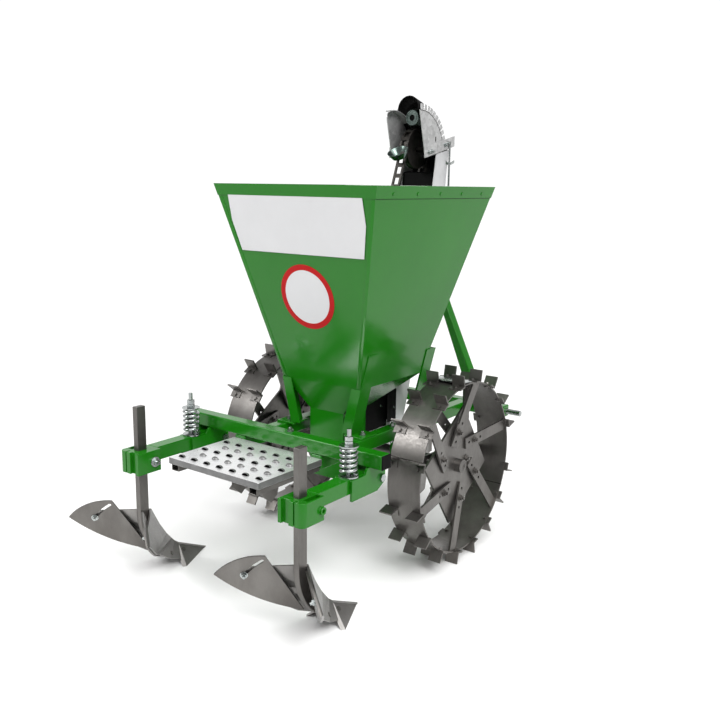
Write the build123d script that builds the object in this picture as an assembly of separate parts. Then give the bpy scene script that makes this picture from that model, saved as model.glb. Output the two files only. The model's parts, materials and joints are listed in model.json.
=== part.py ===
# One-row potato planter: hopper, cup chain, wheels with lugs and two sprung ridgers.
import math
import os

from build123d import *

os.makedirs("parts", exist_ok=True)

# Wheels
AXLE_Y = 210.0
AXLE_R = 17.5
AXLE_FIT = 0.05
AXLE_END = 412.0
RIM_R = 294.0
RIM_T = 5.0
RIM_IN = 307.0
RIM_OUT = 429.0
LUG_H = 40.0
LUG_W = 46.0
LUG_T = 5.0
LUG_FOOT = 28.0
LUG_OVER = 12.0
LUG_STEP = 21.0
LUGS_PER_HALF = 8
TIP_R = RIM_R + LUG_H
HALF_STEP = math.radians(LUG_STEP / 2)
AXLE_Z = TIP_R * math.cos(HALF_STEP) + LUG_T / 2 * math.sin(HALF_STEP)
HUB_R = 23.0
HUB_OUT = 415.0
HUB_IN = 322.0
PLATE_SIDE = 288.0
PLATE_OUT = 390.0
PLATE_THICK = 8.0
PLATE_TURN = 35.0
SPOKES = 6
SPOKE_TURN = 66.0
SPOKE_OFF = 60.0
SPOKE_START = 52.0
SPOKE_W = 38.0
SPOKE_T = 7.0
SPOKE_INSET = 14.0
SPOKE_HOLES = (72.0, 138.0)
SPOKE_HOLE_R = 5.5
SPOKE_HOLE_SIDES = 6
SMALL_SIDES = 8
BEAR_HALF = 45.0
BEAR_DROP = 40.0

# Frame tubes
ROW = 337.5
TUBE = 45.0
RAIL_X = 165.0
BEAR_RISE = 66.137
RAIL_Z = AXLE_Z + BEAR_RISE
BAR_Z = RAIL_Z + TUBE
BAR_TOP = BAR_Z + TUBE
BAR_X = 415.0
BAR_Y = -250.0
BAR_REAR = BAR_Y - TUBE / 2
CAP_T = 3.0
FRONT_Y = 660.0
MAST_REACH = 32.68
FRONT_X = 340.0

# Three-point hitch
PIN_R = 11.0
PIN_L = 60.0
MAST_Z = 880.0
MAST_GAP = 52.0
MAST_T = 12.0
MAST_BORE_R = 9.6
MAST_FOOT_X = 215.0
MAST_LEG = 40.0

# Hopper sheet
SHEET = 3.0
HOP_X = 332.0
HOP_REAR = -206.0
HOP_FRONT = 502.0
HOP_Z = 1262.0
FOLD_X = 167.0
FOLD_REAR = -48.0
FOLD_FRONT = 313.0
FOLD_Z = 604.0
LIP_H = 38.0
LIP_T = 2.0
BOOT_X = 73.0
BOOT_REAR = -17.0
BOOT_FRONT = 110.0
BOOT_TOP = 500.0
BOOT_Z = 262.0
LEG_SIDE = 54.0
LEG_END = 35.0
LEG_T = 4.0
LEG_REAR_TOP = 722.0
LEG_FRONT_TOP = 690.0
FOOT_T = 6.0
FOOT_IN = 112.0
CASE_X = 60.0
CASE_Z = 400.0

# Ridger arms
ARM_DROP = 17.0
ARM_Z = RAIL_Z - ARM_DROP
ARM_TOP = ARM_Z + TUBE
CLAMP_REAR = -592.0
CLAMP_FRONT = -500.0
CLAMP_IN = 43.0
CLAMP_OUT = 48.0
CLAMP_H = 71.0
CLAMP_Z = ARM_TOP - CLAMP_H
CLAMP_ROUND = 18.0
CHANNEL_X = (-31.0, -4.0)
CHANNEL_D = 10.0
GROOVE_X = (13.0, 18.0)
GROOVE_D = 16.0
POCKET_X = (22.0, 41.0)
POCKET_Y = (-562.0, -506.0)
BOSS_Y = -512.0
BOSS_Z = ARM_Z + 5
BOSS_R = 12.0
BOSS_L = 8.0
ARM_FRONT = -192.0
PLATE_T = 8.0
PLATE_GAP = 1.0
PLATE_FRONT = -186.0
PLATE_REAR = -353.0
PLATE_Z = ARM_Z - 22
PIVOT_Y = -205.0
PIVOT_Z = ARM_Z + 14.0
PIVOT_R = 8.0
PIVOT_HEAD = 8.0
PIVOT_HEAD_R = 13.0
SPRING_Y = -329.0
SPRING_R = 23.0
SPRING_WIRE = 5.0
SPRING_H = 92.0
SPRING_TURNS = 5
SPRING_SIDES = 12
NUT_R = 13.0
NUT_H = 12.0
ROD_R = 7.0
ROD_L = 145.0
ROD_TOP = ARM_TOP + ROD_L
WASHER_R = 30.0
WASHER_T = 4.0

# Ridger bodies
SHANK_W = 21.0
SHANK_D = 35.0
SHANK_REAR = -564.0
SHANK_FRONT = SHANK_REAR + SHANK_D
SHANK_TOP = 566.0
FROG_Z = 215.0
FROG_TOE = (90.0, 60.0)
FROG_HEEL = (62.0, 40.0)
FROG_BOW = (22.0, 130.0)
FROG_BACK = (25.0, 115.0)
# Mould-board: crease points are (y, z); seat points are (along, across) the wing, from its pivot;
# nose points are (x, y, z) from the middle of the row
BOARD_CREASE = ((-512, 212), (-480, 150), (-451, 106), (-430, 82), (-418, 69), (-401, 57))
BOARD_SEAT = ((215, 60), (268, 0), (150, -17), (70, -14))
BOARD_NOSE = ((60, -486, 43), (49, -434, 21))
BOARD_T = 5.0
WING_PIVOT = (26.0, -500.0, 62.0)
WING_TIP = (196.0, -689.0, 191.0)
WING_TOP = (77.0, -607.0, 250.0)
WING_T = 5.0
SLOT_AT = 0.747
SLOT_W = 10.0
SHARE_TOP = (-401.0, 57.0)
SHARE_TIP = (-276.0, 0.0)
SHARE_HEEL = (-432.0, 0.0)
SHARE_X = 74.0
SHARE_T = 14.0

# Step
STEP_X = 190.0
STEP_REAR = -557.0
STEP_FRONT = -273.0
STEP_TOP = RAIL_Z + 35
STEP_EDGE = 20.0
STEP_SHEET = 3.0
STEP_TUBE_W = 30.0
STEP_TUBE_H = 20.0
STEP_TUBE_T = 2.0
HANGER_X = 62.0
HANGER_T = 5.0
HANGER = ((-410, 0), (-410, -109), (-371, -140), (-342, -118), (-310, 0))

# Furrow opener
OPENER_TIP = 672.0
OPENER_REAR = 500.0
OPENER_X = 48.0
OPENER_Z = 45.0
OPENER_TOP = 230.0
OPENER_T = 6.0
OPENER_NOSE = 70.0
OPENER_STEM = 10.0

# Fall duct
DUCT_LOW_Z = 330.0
DUCT_FRONT_LOW = 323.0
DUCT_FRONT_TOP = 592.0
SIDE_X = 75.0
SIDE_T = 3.0

# Elevator head
HEAD_Y = 418.0
HEAD_RISE = 113.0
HEAD_Z = HOP_Z + HEAD_RISE
HEAD_R = 152.0
HEAD_NECK = (HEAD_Y + 30, HEAD_Z - 14)
HEAD_ROUND = 0.145 * HEAD_R
NECK_REAR = (HEAD_Y + 104, HEAD_Z + 3)
NECK_FRONT = (HEAD_Y + HEAD_R + 38, HEAD_Z + 20)
ARC_TOP = 95.0
ARC_LOW = 20.0
TABS_RIGHT = 10
TABS_LEFT = 7
TAB_START = 22.0
TAB_STEP = 7.5
TAB_H = 21.0
TAB_W = 15.0
HOOD_START = 50.0
HOOD_SPAN = 32.0
HOOD_X = 45.0
HOOD_FOOT = 7.0
HOOD_SIDES = 10
BAR_PLATE_T = 5.0
BAR_PLATE_H = 38.0
BAR_PLATE_Y = (HEAD_Y + 22, HEAD_Y + 222)
BAR_PLATE_RISE = 48.0
ROD_Y = NECK_FRONT[0] - 8
TENSION_R = 4.0
TENSION_Z = HEAD_Z - 175
TENSION_L = 225.0
LUG_BLOCK = (40.0, 12.0)

# Chain and cups
SPROCKET_T = 20.0
SHAFT_R = 10.0
CHAIN_R = 69.0
CHAIN_T = 7.0
CHAIN_W = 36.0
SPROCKET_ARM = HEAD_R - CHAIN_R - CHAIN_T
SPROCKET_TURN = math.radians(12.94)
SPROCKET_Y = HEAD_Y + SPROCKET_ARM * math.cos(SPROCKET_TURN)
SPROCKET_Z = HEAD_Z + SPROCKET_ARM * math.sin(SPROCKET_TURN)
LINK_PITCH = 38.0
LINK_GAP = (20.0, 23.0)
STRAND_SLOPE = 0.37
FALL_SLOPE = 0.2685
FALL_GAP = 3.0
FALL_LOW_Z = 1180.0
CUPS = 5
CUP_PITCH = 4 * LINK_PITCH
CUP_DROP = 19.0
CUP_R = 38.0
CUP_LOW_R = 22.0
CUP_H = 24.0
CUP_T = 2.5
CUP_HOLE = 9.0
CUP_SIDES = 12
CUP_TILT = 18.0
CUP_REACH = 22.0


def block(x0, x1, y0, y1, z0, z1):
    return Pos((x0 + x1) / 2, (y0 + y1) / 2, (z0 + z1) / 2) * Box(x1 - x0, y1 - y0, z1 - z0)


def rod_x(x0, x1, y, z, r):
    return Pos((x0 + x1) / 2, y, z) * Rot(0, 90, 0) * Cylinder(r, x1 - x0)


def rod_z(x, y, z0, z1, r):
    return Pos(x, y, (z0 + z1) / 2) * Cylinder(r, z1 - z0)


def slab_x(points, x0, x1):
    face = make_face(Polyline(*[(x0, y, z) for y, z in points], close=True))
    return extrude(face, x1 - x0, dir=(1, 0, 0))


def frustum(lower, z0, upper, z1):
    faces = []
    for (x, ya, yb), z in ((lower, z0), (upper, z1)):
        faces.append(Pos(0, (ya + yb) / 2, z) * Rectangle(2 * x, yb - ya))
    return loft(faces)


def flat_faced(rings):
    return Solid(Shell([Face(Wire.make_polygon(ring, close=True)) for ring in rings]))


def prism(lower, upper):
    rings = [lower, upper]
    for i in range(len(lower)):
        k = (i + 1) % len(lower)
        rings.append([lower[i], lower[k], upper[k], upper[i]])
    return flat_faced(rings)


def sheet(edge_a, edge_b, push):
    front = []
    for i in range(len(edge_a) - 1):
        front.append([edge_a[i], edge_a[i + 1], edge_b[i]])
        front.append([edge_b[i], edge_a[i + 1], edge_b[i + 1]])
    rings = front + [[corner + push for corner in ring] for ring in front]
    border = edge_a + edge_b[::-1]
    for i in range(len(border)):
        p = border[i]
        q = border[(i + 1) % len(border)]
        rings.append([p, q, q + push, p + push])
    return flat_faced(rings)


def ngon_x(x0, x1, y, z, r, sides):
    plane = Plane(origin=(x0, y, z), x_dir=(0, 1, 0), z_dir=(1, 0, 0))
    return extrude(plane * RegularPolygon(r, sides), x1 - x0)


def ngon_z(x, y, z0, z1, r, sides):
    return Pos(x, y, z0) * extrude(RegularPolygon(r, sides), z1 - z0)


def save(node, *solids):
    shape = solids[0] if len(solids) == 1 else Compound(children=list(solids))
    export_step(shape, "parts/" + node + ".step")


def pair(shape):
    return [shape, mirror(shape, about=Plane.YZ)]


# Frame: crossbar on two rails, front bar with hitch pins, mast
save("rear_bar", block(-BAR_X, BAR_X, BAR_REAR, BAR_REAR + TUBE, BAR_Z, BAR_TOP))
cap = block(BAR_X, BAR_X + CAP_T, BAR_REAR + 1, BAR_REAR + TUBE - 1, BAR_Z + 1, BAR_TOP - 1)
save("bar_caps", *pair(cap))
rail = block(RAIL_X - TUBE / 2, RAIL_X + TUBE / 2, BAR_REAR, FRONT_Y - TUBE / 2, RAIL_Z, BAR_Z)
save("rails", *pair(rail))
save("front_bar", block(-FRONT_X, FRONT_X, FRONT_Y - TUBE / 2, FRONT_Y + TUBE / 2, RAIL_Z, BAR_Z))
pin = rod_x(FRONT_X, FRONT_X + PIN_L, FRONT_Y, RAIL_Z + TUBE / 2, PIN_R)
save("hitch_pins", *pair(pin))
cheek = slab_x(
    [
        (FRONT_Y - MAST_REACH, MAST_Z - 70),
        (FRONT_Y + MAST_REACH, MAST_Z - 70),
        (FRONT_Y + MAST_REACH, MAST_Z + 25),
        (FRONT_Y - MAST_REACH, MAST_Z + 25),
    ],
    MAST_GAP / 2,
    MAST_GAP / 2 + MAST_T,
)
cheek -= rod_x(0, 100, FRONT_Y, MAST_Z, MAST_BORE_R)
save("mast_lugs", *pair(cheek))
leg_top = (MAST_GAP / 2 + MAST_T, MAST_Z - 60)
mast_face = make_face(
    Polyline(
        (MAST_FOOT_X - 24, FRONT_Y, BAR_Z),
        (MAST_FOOT_X + 24, FRONT_Y, BAR_Z),
        (leg_top[0], FRONT_Y, MAST_Z - 10),
        (leg_top[0], FRONT_Y, MAST_Z - 70),
        close=True,
    )
)
mast_leg = extrude(mast_face, MAST_LEG / 2, dir=(0, 1, 0), both=True)
save("mast_legs", *pair(mast_leg))

# Hopper: tapered bin with a folded lip, funnel and boot
TOP = (HOP_X, HOP_REAR, HOP_FRONT)
FOLD = (FOLD_X, FOLD_REAR, FOLD_FRONT)
BOOT = (BOOT_X, BOOT_REAR, BOOT_FRONT)


def grown(rect, d):
    return (rect[0] + d, rect[1] - d, rect[2] + d)


outside = frustum(FOLD, FOLD_Z, TOP, HOP_Z) + frustum(BOOT, BOOT_TOP, FOLD, FOLD_Z)
share = LIP_H / (HOP_Z - FOLD_Z)
LIP_LOW = tuple(t + (f - t) * share for t, f in zip(TOP, FOLD))


def rim_quad(rect, d0, d1, z, wall):
    a = grown(rect, d0)
    b = grown(rect, d1)
    corners = {
        "right": ((1, 1), (1, 2)),
        "front": ((1, 2), (-1, 2)),
        "left": ((-1, 2), (-1, 1)),
        "rear": ((-1, 1), (1, 1)),
    }[wall]
    outer = [(sx * a[0], a[i], z) for sx, i in corners]
    inner = [(sx * b[0], b[i], z) for sx, i in corners]
    return outer + inner[::-1]


for wall in ("right", "front", "left", "rear"):
    panel = prism(rim_quad(FOLD, 0, -SHEET, FOLD_Z, wall), rim_quad(TOP, 0, -SHEET, HOP_Z, wall))
    panel += prism(rim_quad(BOOT, 0, -SHEET, BOOT_TOP, wall), rim_quad(FOLD, 0, -SHEET, FOLD_Z, wall))
    panel += prism(
        rim_quad(LIP_LOW, LIP_T, 0, HOP_Z - LIP_H, wall),
        rim_quad(TOP, LIP_T, 0, HOP_Z, wall),
    )
    save("hopper_" + wall, panel)
boot = block(-BOOT_X, BOOT_X, BOOT_REAR, BOOT_FRONT, BOOT_Z, BOOT_TOP)
save("boot", boot)
WALL_LEAN = (HOP_X - FOLD_X) / (HOP_Z - FOLD_Z)
FRONT_LEAN = (HOP_FRONT - FOLD_FRONT) / (HOP_Z - FOLD_Z)


def leaning(z, d0, d1, y0, y1):
    x = FOLD_X + (z - FOLD_Z) * WALL_LEAN
    return [(x + d0, y0, z), (x + d1, y0, z), (x + d1, y1, z), (x + d0, y1, z)]


# Hopper legs: slanted angle irons that follow the side walls down to feet on the rails
leg_low = BAR_Z + FOOT_T
legs = []
feet = []
for y0, y1, end, top, end_top in (
    (FOLD_REAR, FOLD_REAR + LEG_SIDE, FOLD_REAR - LEG_T, LEG_REAR_TOP, FOLD_Z),
    (FOLD_FRONT, FOLD_FRONT + LEG_SIDE, FOLD_FRONT + LEG_SIDE, LEG_FRONT_TOP, LEG_FRONT_TOP),
):
    leg = prism(leaning(leg_low, 0, LEG_T, y0, y1), leaning(top, 0, LEG_T, y0, y1))
    leg += prism(
        leaning(leg_low, -LEG_END, LEG_T, end, end + LEG_T),
        leaning(end_top, -LEG_END, LEG_T, end, end + LEG_T),
    )
    legs += pair(leg)
    feet += pair(block(FOOT_IN, RAIL_X + TUBE / 2, y0 - 15, y1 + 15, BAR_Z, leg_low))
save("hopper_legs", *legs)
save("leg_feet", *feet)

# Fall duct in front of the hopper and the dark chain case under the funnel
duct_gap = LIP_T + 1


def duct_rear(z):
    return FOLD_FRONT + (z - FOLD_Z) * FRONT_LEAN + duct_gap


duct_side = slab_x(
    [
        (duct_rear(DUCT_LOW_Z), DUCT_LOW_Z),
        (DUCT_FRONT_LOW, DUCT_LOW_Z),
        (DUCT_FRONT_TOP, HOP_Z),
        NECK_FRONT,
        NECK_REAR,
        (duct_rear(HOP_Z), HOP_Z),
    ],
    SIDE_X - SIDE_T,
    SIDE_X,
)
save("duct_sides", *pair(duct_side))
inside_x = SIDE_X - SIDE_T
duct_front = slab_x(
    [
        (DUCT_FRONT_LOW - SIDE_T, DUCT_LOW_Z),
        (DUCT_FRONT_LOW, DUCT_LOW_Z),
        (DUCT_FRONT_TOP, HOP_Z),
        (DUCT_FRONT_TOP - SIDE_T, HOP_Z),
    ],
    -inside_x,
    inside_x,
)
save("duct_front", duct_front)
case = slab_x(
    [
        (BOOT_FRONT, CASE_Z),
        (duct_rear(CASE_Z) - 4, CASE_Z),
        (FOLD_FRONT - 10, FOLD_Z - 10),
        (BOOT_FRONT, BOOT_TOP - 5),
    ],
    -CASE_X,
    CASE_X,
)
save("chain_case", case)

# Elevator head: sector plates with a comb of tabs, cover, hood, bars and tension rods


def head(degrees, r=HEAD_R):
    a = math.radians(degrees)
    return (HEAD_Y + r * math.cos(a), HEAD_Z + r * math.sin(a))


def yz(x, p):
    return (x, p[0], p[1])


def arc_x(x, r, start, end):
    return ThreePointArc(yz(x, head(start, r)), yz(x, head((start + end) / 2, r)), yz(x, head(end, r)))


side_edge = [
    Line(yz(SIDE_X, HEAD_NECK), yz(SIDE_X, head(ARC_TOP))),
    arc_x(SIDE_X, HEAD_R, ARC_TOP, ARC_LOW),
    Line(yz(SIDE_X, head(ARC_LOW)), yz(SIDE_X, HEAD_NECK)),
]
side = extrude(make_face(Wire(side_edge)), SIDE_T, dir=(-1, 0, 0))
rounded = fillet(side.edges().filter_by(Axis.X).sort_by(Axis.Y)[0], HEAD_ROUND)


def comb(plate, count):
    tab = Pos(SIDE_X - SIDE_T / 2, HEAD_R + TAB_H / 2 - 1, 0) * Box(SIDE_T, TAB_H + 2, TAB_W)
    for i in range(count):
        plate += Pos(0, HEAD_Y, HEAD_Z) * Rot(TAB_START + TAB_STEP * i, 0, 0) * tab
    return plate


save("head_right", comb(side, TABS_RIGHT))
save("head_left", mirror(comb(rounded, TABS_LEFT), about=Plane.YZ))
COVER_R = HEAD_R + SIDE_T
front_sheet = slab_x(
    [
        (DUCT_FRONT_TOP - SIDE_T, HOP_Z),
        (DUCT_FRONT_TOP, HOP_Z),
        NECK_FRONT,
        head(ARC_LOW, COVER_R),
        head(ARC_LOW),
        (NECK_FRONT[0] - SIDE_T, NECK_FRONT[1] - SIDE_T / 2),
    ],
    -inside_x,
    inside_x,
)
save("head_front", front_sheet)
cover_edge = [
    arc_x(0, HEAD_R, ARC_TOP, ARC_LOW),
    Line(yz(0, head(ARC_LOW)), yz(0, head(ARC_LOW, COVER_R))),
    arc_x(0, COVER_R, ARC_LOW, ARC_TOP),
    Line(yz(0, head(ARC_TOP, COVER_R)), yz(0, head(ARC_TOP))),
]
cover = extrude(make_face(Wire(cover_edge)), inside_x, dir=(1, 0, 0), both=True)
mouth = [head(HOOD_START, r) for r in (HEAD_R / 2, 2 * HEAD_R)]
mouth += [head(ARC_TOP + 5, r) for r in (2 * HEAD_R, HEAD_R / 2)]
save("head_cover", cover - slab_x(mouth, SIDE_T - HOOD_X, HOOD_X - SIDE_T))


hood_base = COVER_R / math.cos(math.radians(HOOD_SPAN / 4))


def arch(half):
    turns = [math.pi * i / HOOD_SIDES for i in range(HOOD_SIDES + 1)]
    crown = [(half * math.cos(t), hood_base + HOOD_FOOT + half * math.sin(t)) for t in turns]
    return [(half, hood_base)] + crown + [(-half, hood_base)]


def hood_ring(degrees):
    wall = arch(HOOD_X) + arch(HOOD_X - SIDE_T)[::-1]
    return [yz(x, head(degrees, r)) for x, r in wall]


hood_mid = HOOD_START + HOOD_SPAN / 2
hood = prism(hood_ring(HOOD_START), hood_ring(hood_mid))
hood += prism(hood_ring(hood_mid), hood_ring(HOOD_START + HOOD_SPAN))
save("head_hood", hood)
bar_z = HEAD_NECK[1]
bar_plate = slab_x(
    [
        (BAR_PLATE_Y[0], bar_z),
        (BAR_PLATE_Y[1], bar_z + BAR_PLATE_RISE),
        (BAR_PLATE_Y[1], bar_z + BAR_PLATE_RISE + BAR_PLATE_H),
        (BAR_PLATE_Y[0], bar_z + BAR_PLATE_H),
    ],
    SIDE_X,
    SIDE_X + BAR_PLATE_T,
)
save("head_bars", *pair(bar_plate))
rod_x_at = SIDE_X + BAR_PLATE_T + TENSION_R
tension = ngon_z(rod_x_at, ROD_Y, TENSION_Z, TENSION_Z + TENSION_L, TENSION_R, SMALL_SIDES)
lug_front = ROD_Y + 8
lug_rear = lug_front - LUG_BLOCK[0] - 8
tension += block(SIDE_X, rod_x_at + 8, lug_rear, lug_front, TENSION_Z, TENSION_Z + LUG_BLOCK[1])
save("tension_rods", *pair(tension))
shaft = ngon_x(-inside_x, inside_x, SPROCKET_Y, SPROCKET_Z, SHAFT_R, SMALL_SIDES)
wheel = ngon_x(-SPROCKET_T / 2, SPROCKET_T / 2, SPROCKET_Y, SPROCKET_Z, CHAIN_R, 16)
save("head_sprocket", shaft + wheel)

# Ladder chain over the sprocket, and its cups
strand_low = BOOT_TOP
half_w = CHAIN_W / 2


def strand_y(z):
    return SPROCKET_Y - CHAIN_R - CHAIN_T - STRAND_SLOPE * (SPROCKET_Z - z)


def fall_y(z):
    return SPROCKET_Y + CHAIN_R + FALL_GAP - FALL_SLOPE * (SPROCKET_Z - z)


def strand(path, low):
    top = path(SPROCKET_Z)
    foot = path(low)
    band = slab_x(
        [(foot, low), (foot + CHAIN_T, low), (top + CHAIN_T, SPROCKET_Z), (top, SPROCKET_Z)],
        -half_w,
        half_w,
    )
    gap_w, gap_h = LINK_GAP
    first = SPROCKET_Z - CUP_DROP
    for i in range(int((first - low) / LINK_PITCH)):
        z = first - LINK_PITCH * (i + 1) + (LINK_PITCH - gap_h) / 2
        y = path(z)
        band -= block(-gap_w / 2, gap_w / 2, y - 3 * CHAIN_T, y + 4 * CHAIN_T, z, z + gap_h)
    return band


chain = ngon_x(-half_w, half_w, SPROCKET_Y, SPROCKET_Z, CHAIN_R + CHAIN_T, 32)
chain -= ngon_x(-half_w, half_w, SPROCKET_Y, SPROCKET_Z, CHAIN_R, 32)
chain &= block(-half_w, half_w, SPROCKET_Y - 100, SPROCKET_Y + 100, SPROCKET_Z, SPROCKET_Z + 100)
for i in range(6):
    slot = Pos(0, CHAIN_R, 0) * Box(LINK_GAP[0], 4 * CHAIN_T, LINK_GAP[1])
    chain -= Pos(0, SPROCKET_Y, SPROCKET_Z) * Rot(15 + 30 * i, 0, 0) * slot
save("cup_chain", chain + strand(strand_y, strand_low) + strand(fall_y, FALL_LOW_Z))


def circle(r, z):
    step = 2 * math.pi / CUP_SIDES
    return [(r * math.cos(step * i), r * math.sin(step * i), z) for i in range(CUP_SIDES)]


dish = prism(circle(CUP_LOW_R, 0), circle(CUP_R, CUP_H))
dish -= prism(circle(CUP_LOW_R - CUP_T, CUP_T), circle(CUP_R - CUP_T, CUP_H))
dish -= ngon_z(0, 0, -1, 2 * CUP_T, CUP_HOLE, SMALL_SIDES)
dish = Pos(0, 0, -CUP_H / 2) * dish
over_r = CHAIN_R + CHAIN_T
round_top = ngon_x(-half_w, half_w, SPROCKET_Y, SPROCKET_Z, over_r, 32)
cups = []
for i in range(CUPS):
    z = SPROCKET_Z - CUP_DROP - CUP_PITCH * i
    under = (strand_y(z - 90), z - 90)
    above = (strand_y(z + 90), z + 90)
    ahead_y = strand_y(z) + 120
    ahead = slab_x([under, (ahead_y, z - 90), (ahead_y, z + 90), above], -2 * CUP_R, 2 * CUP_R)
    cups.append(Pos(0, strand_y(z) - CUP_REACH, z) * Rot(CUP_TILT, 0, 0) * dish - ahead - round_top)
top_cup = Pos(0, SPROCKET_Y - CUP_H / 2, SPROCKET_Z + over_r + CUP_R - 3) * Rot(-90, 0, 0) * dish
cups.append(top_cup - round_top)
save("chain_cups", *cups)

# Wheelset: axle, rims with lugs, star plates with flat-bar spokes
save("axle", rod_x(-AXLE_END, AXLE_END, AXLE_Y, AXLE_Z, AXLE_R))
bearing = block(
    RAIL_X - TUBE / 2,
    RAIL_X + TUBE / 2,
    AXLE_Y - BEAR_HALF,
    AXLE_Y + BEAR_HALF,
    AXLE_Z - BEAR_DROP,
    RAIL_Z,
)
bearing -= rod_x(0, 2 * RAIL_X, AXLE_Y, AXLE_Z, AXLE_R + AXLE_FIT)
save("axle_bearings", *pair(bearing))


def wheel_ring(r_out, r_in, x0, x1):
    return rod_x(x0, x1, AXLE_Y, AXLE_Z, r_out) - rod_x(x0, x1, AXLE_Y, AXLE_Z, r_in)


def on_wheel(shape, turn):
    return Pos(0, AXLE_Y, AXLE_Z) * Rot(turn, 0, 0) * shape


rim = wheel_ring(RIM_R, RIM_R - RIM_T, RIM_IN, RIM_OUT)
lugs = []
for half in (0, 180):
    for i in range(LUGS_PER_HALF):
        turn = half + LUG_STEP * (i - (LUGS_PER_HALF - 1) / 2)
        for x in (RIM_IN - LUG_OVER + LUG_W / 2, RIM_OUT + LUG_OVER - LUG_W / 2):
            lug = Pos(x, 0, -(RIM_R + TIP_R) / 2 + RIM_T / 4) * Box(LUG_W, LUG_T, LUG_H + RIM_T / 2)
            foot = Pos(x, LUG_FOOT / 2, -RIM_R) * Box(LUG_W, LUG_FOOT, LUG_T)
            lugs.append(on_wheel(lug + foot, turn))
rim = rim + lugs
save("rim_right", rim)
save("rim_left", mirror(rim, about=Plane.YZ))
hub = wheel_ring(HUB_R, AXLE_R, HUB_IN, HUB_OUT)
square = Pos((PLATE_OUT - PLATE_THICK / 2), 0, 0) * Box(PLATE_THICK, PLATE_SIDE, PLATE_SIDE)
hub += on_wheel(square, PLATE_TURN) - rod_x(RIM_IN, RIM_OUT, AXLE_Y, AXLE_Z, AXLE_R)
save("hub_right", hub)
save("hub_left", mirror(hub, about=Plane.YZ))
RIM_BORE = RIM_R - RIM_T
trim = rod_x(RIM_IN, RIM_OUT, AXLE_Y, AXLE_Z, RIM_BORE)
SPOKE_LEN = RIM_BORE - SPOKE_START
outer_lean = math.atan2(RIM_OUT - SPOKE_INSET - PLATE_OUT, SPOKE_LEN)
inner_lean = math.atan2(PLATE_OUT - PLATE_THICK - RIM_IN - SPOKE_INSET, SPOKE_LEN)
spokes = []
for side, face, lean in ((1, PLATE_OUT, outer_lean), (-1, PLATE_OUT - PLATE_THICK, inner_lean)):
    for i in range(SPOKES):
        bar = Pos(side * SPOKE_T / 2, -side * SPOKE_OFF, SPOKE_LEN / 2) * Box(SPOKE_T, SPOKE_W, SPOKE_LEN)
        for hole in SPOKE_HOLES:
            hole_at = (-side * SPOKE_OFF, hole - SPOKE_START)
            bar -= ngon_x(-SPOKE_T, SPOKE_T, *hole_at, SPOKE_HOLE_R, SPOKE_HOLE_SIDES)
        bar = Pos(face, 0, SPOKE_START) * Rot(0, side * math.degrees(lean), 0) * bar
        spokes.append(on_wheel(bar, SPOKE_TURN - 90 + 360.0 / SPOKES * i) & trim)
save("spokes_right", *spokes)
save("spokes_left", *[mirror(spoke, about=Plane.YZ) for spoke in spokes])

# Shank clamp with a ribbed back, a wedge pocket on its outer side and a boss for the set bolt
clamp = block(-CLAMP_IN, CLAMP_OUT, CLAMP_REAR, CLAMP_FRONT, CLAMP_Z, ARM_TOP)
clamp = fillet(clamp.edges().filter_by(Axis.Z).sort_by(Axis.Y)[:2].sort_by(Axis.X)[-1], CLAMP_ROUND)
clamp -= block(-SHANK_W / 2, SHANK_W / 2, SHANK_REAR, SHANK_FRONT, 0, SHANK_TOP)
clamp -= block(*POCKET_X, *POCKET_Y, 0, SHANK_TOP)
clamp -= block(*CHANNEL_X, CLAMP_REAR - 1, CLAMP_REAR + CHANNEL_D, 0, SHANK_TOP)
clamp -= block(*GROOVE_X, CLAMP_REAR - 1, CLAMP_REAR + GROOVE_D, 0, SHANK_TOP)
clamp += ngon_x(CLAMP_OUT, CLAMP_OUT + BOSS_L, BOSS_Y, BOSS_Z, BOSS_R, 12)
clamp -= ngon_x(POCKET_X[1] - 1, CLAMP_OUT + 2 * BOSS_L, BOSS_Y, BOSS_Z, BOSS_R / 2, SMALL_SIDES)

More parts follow.
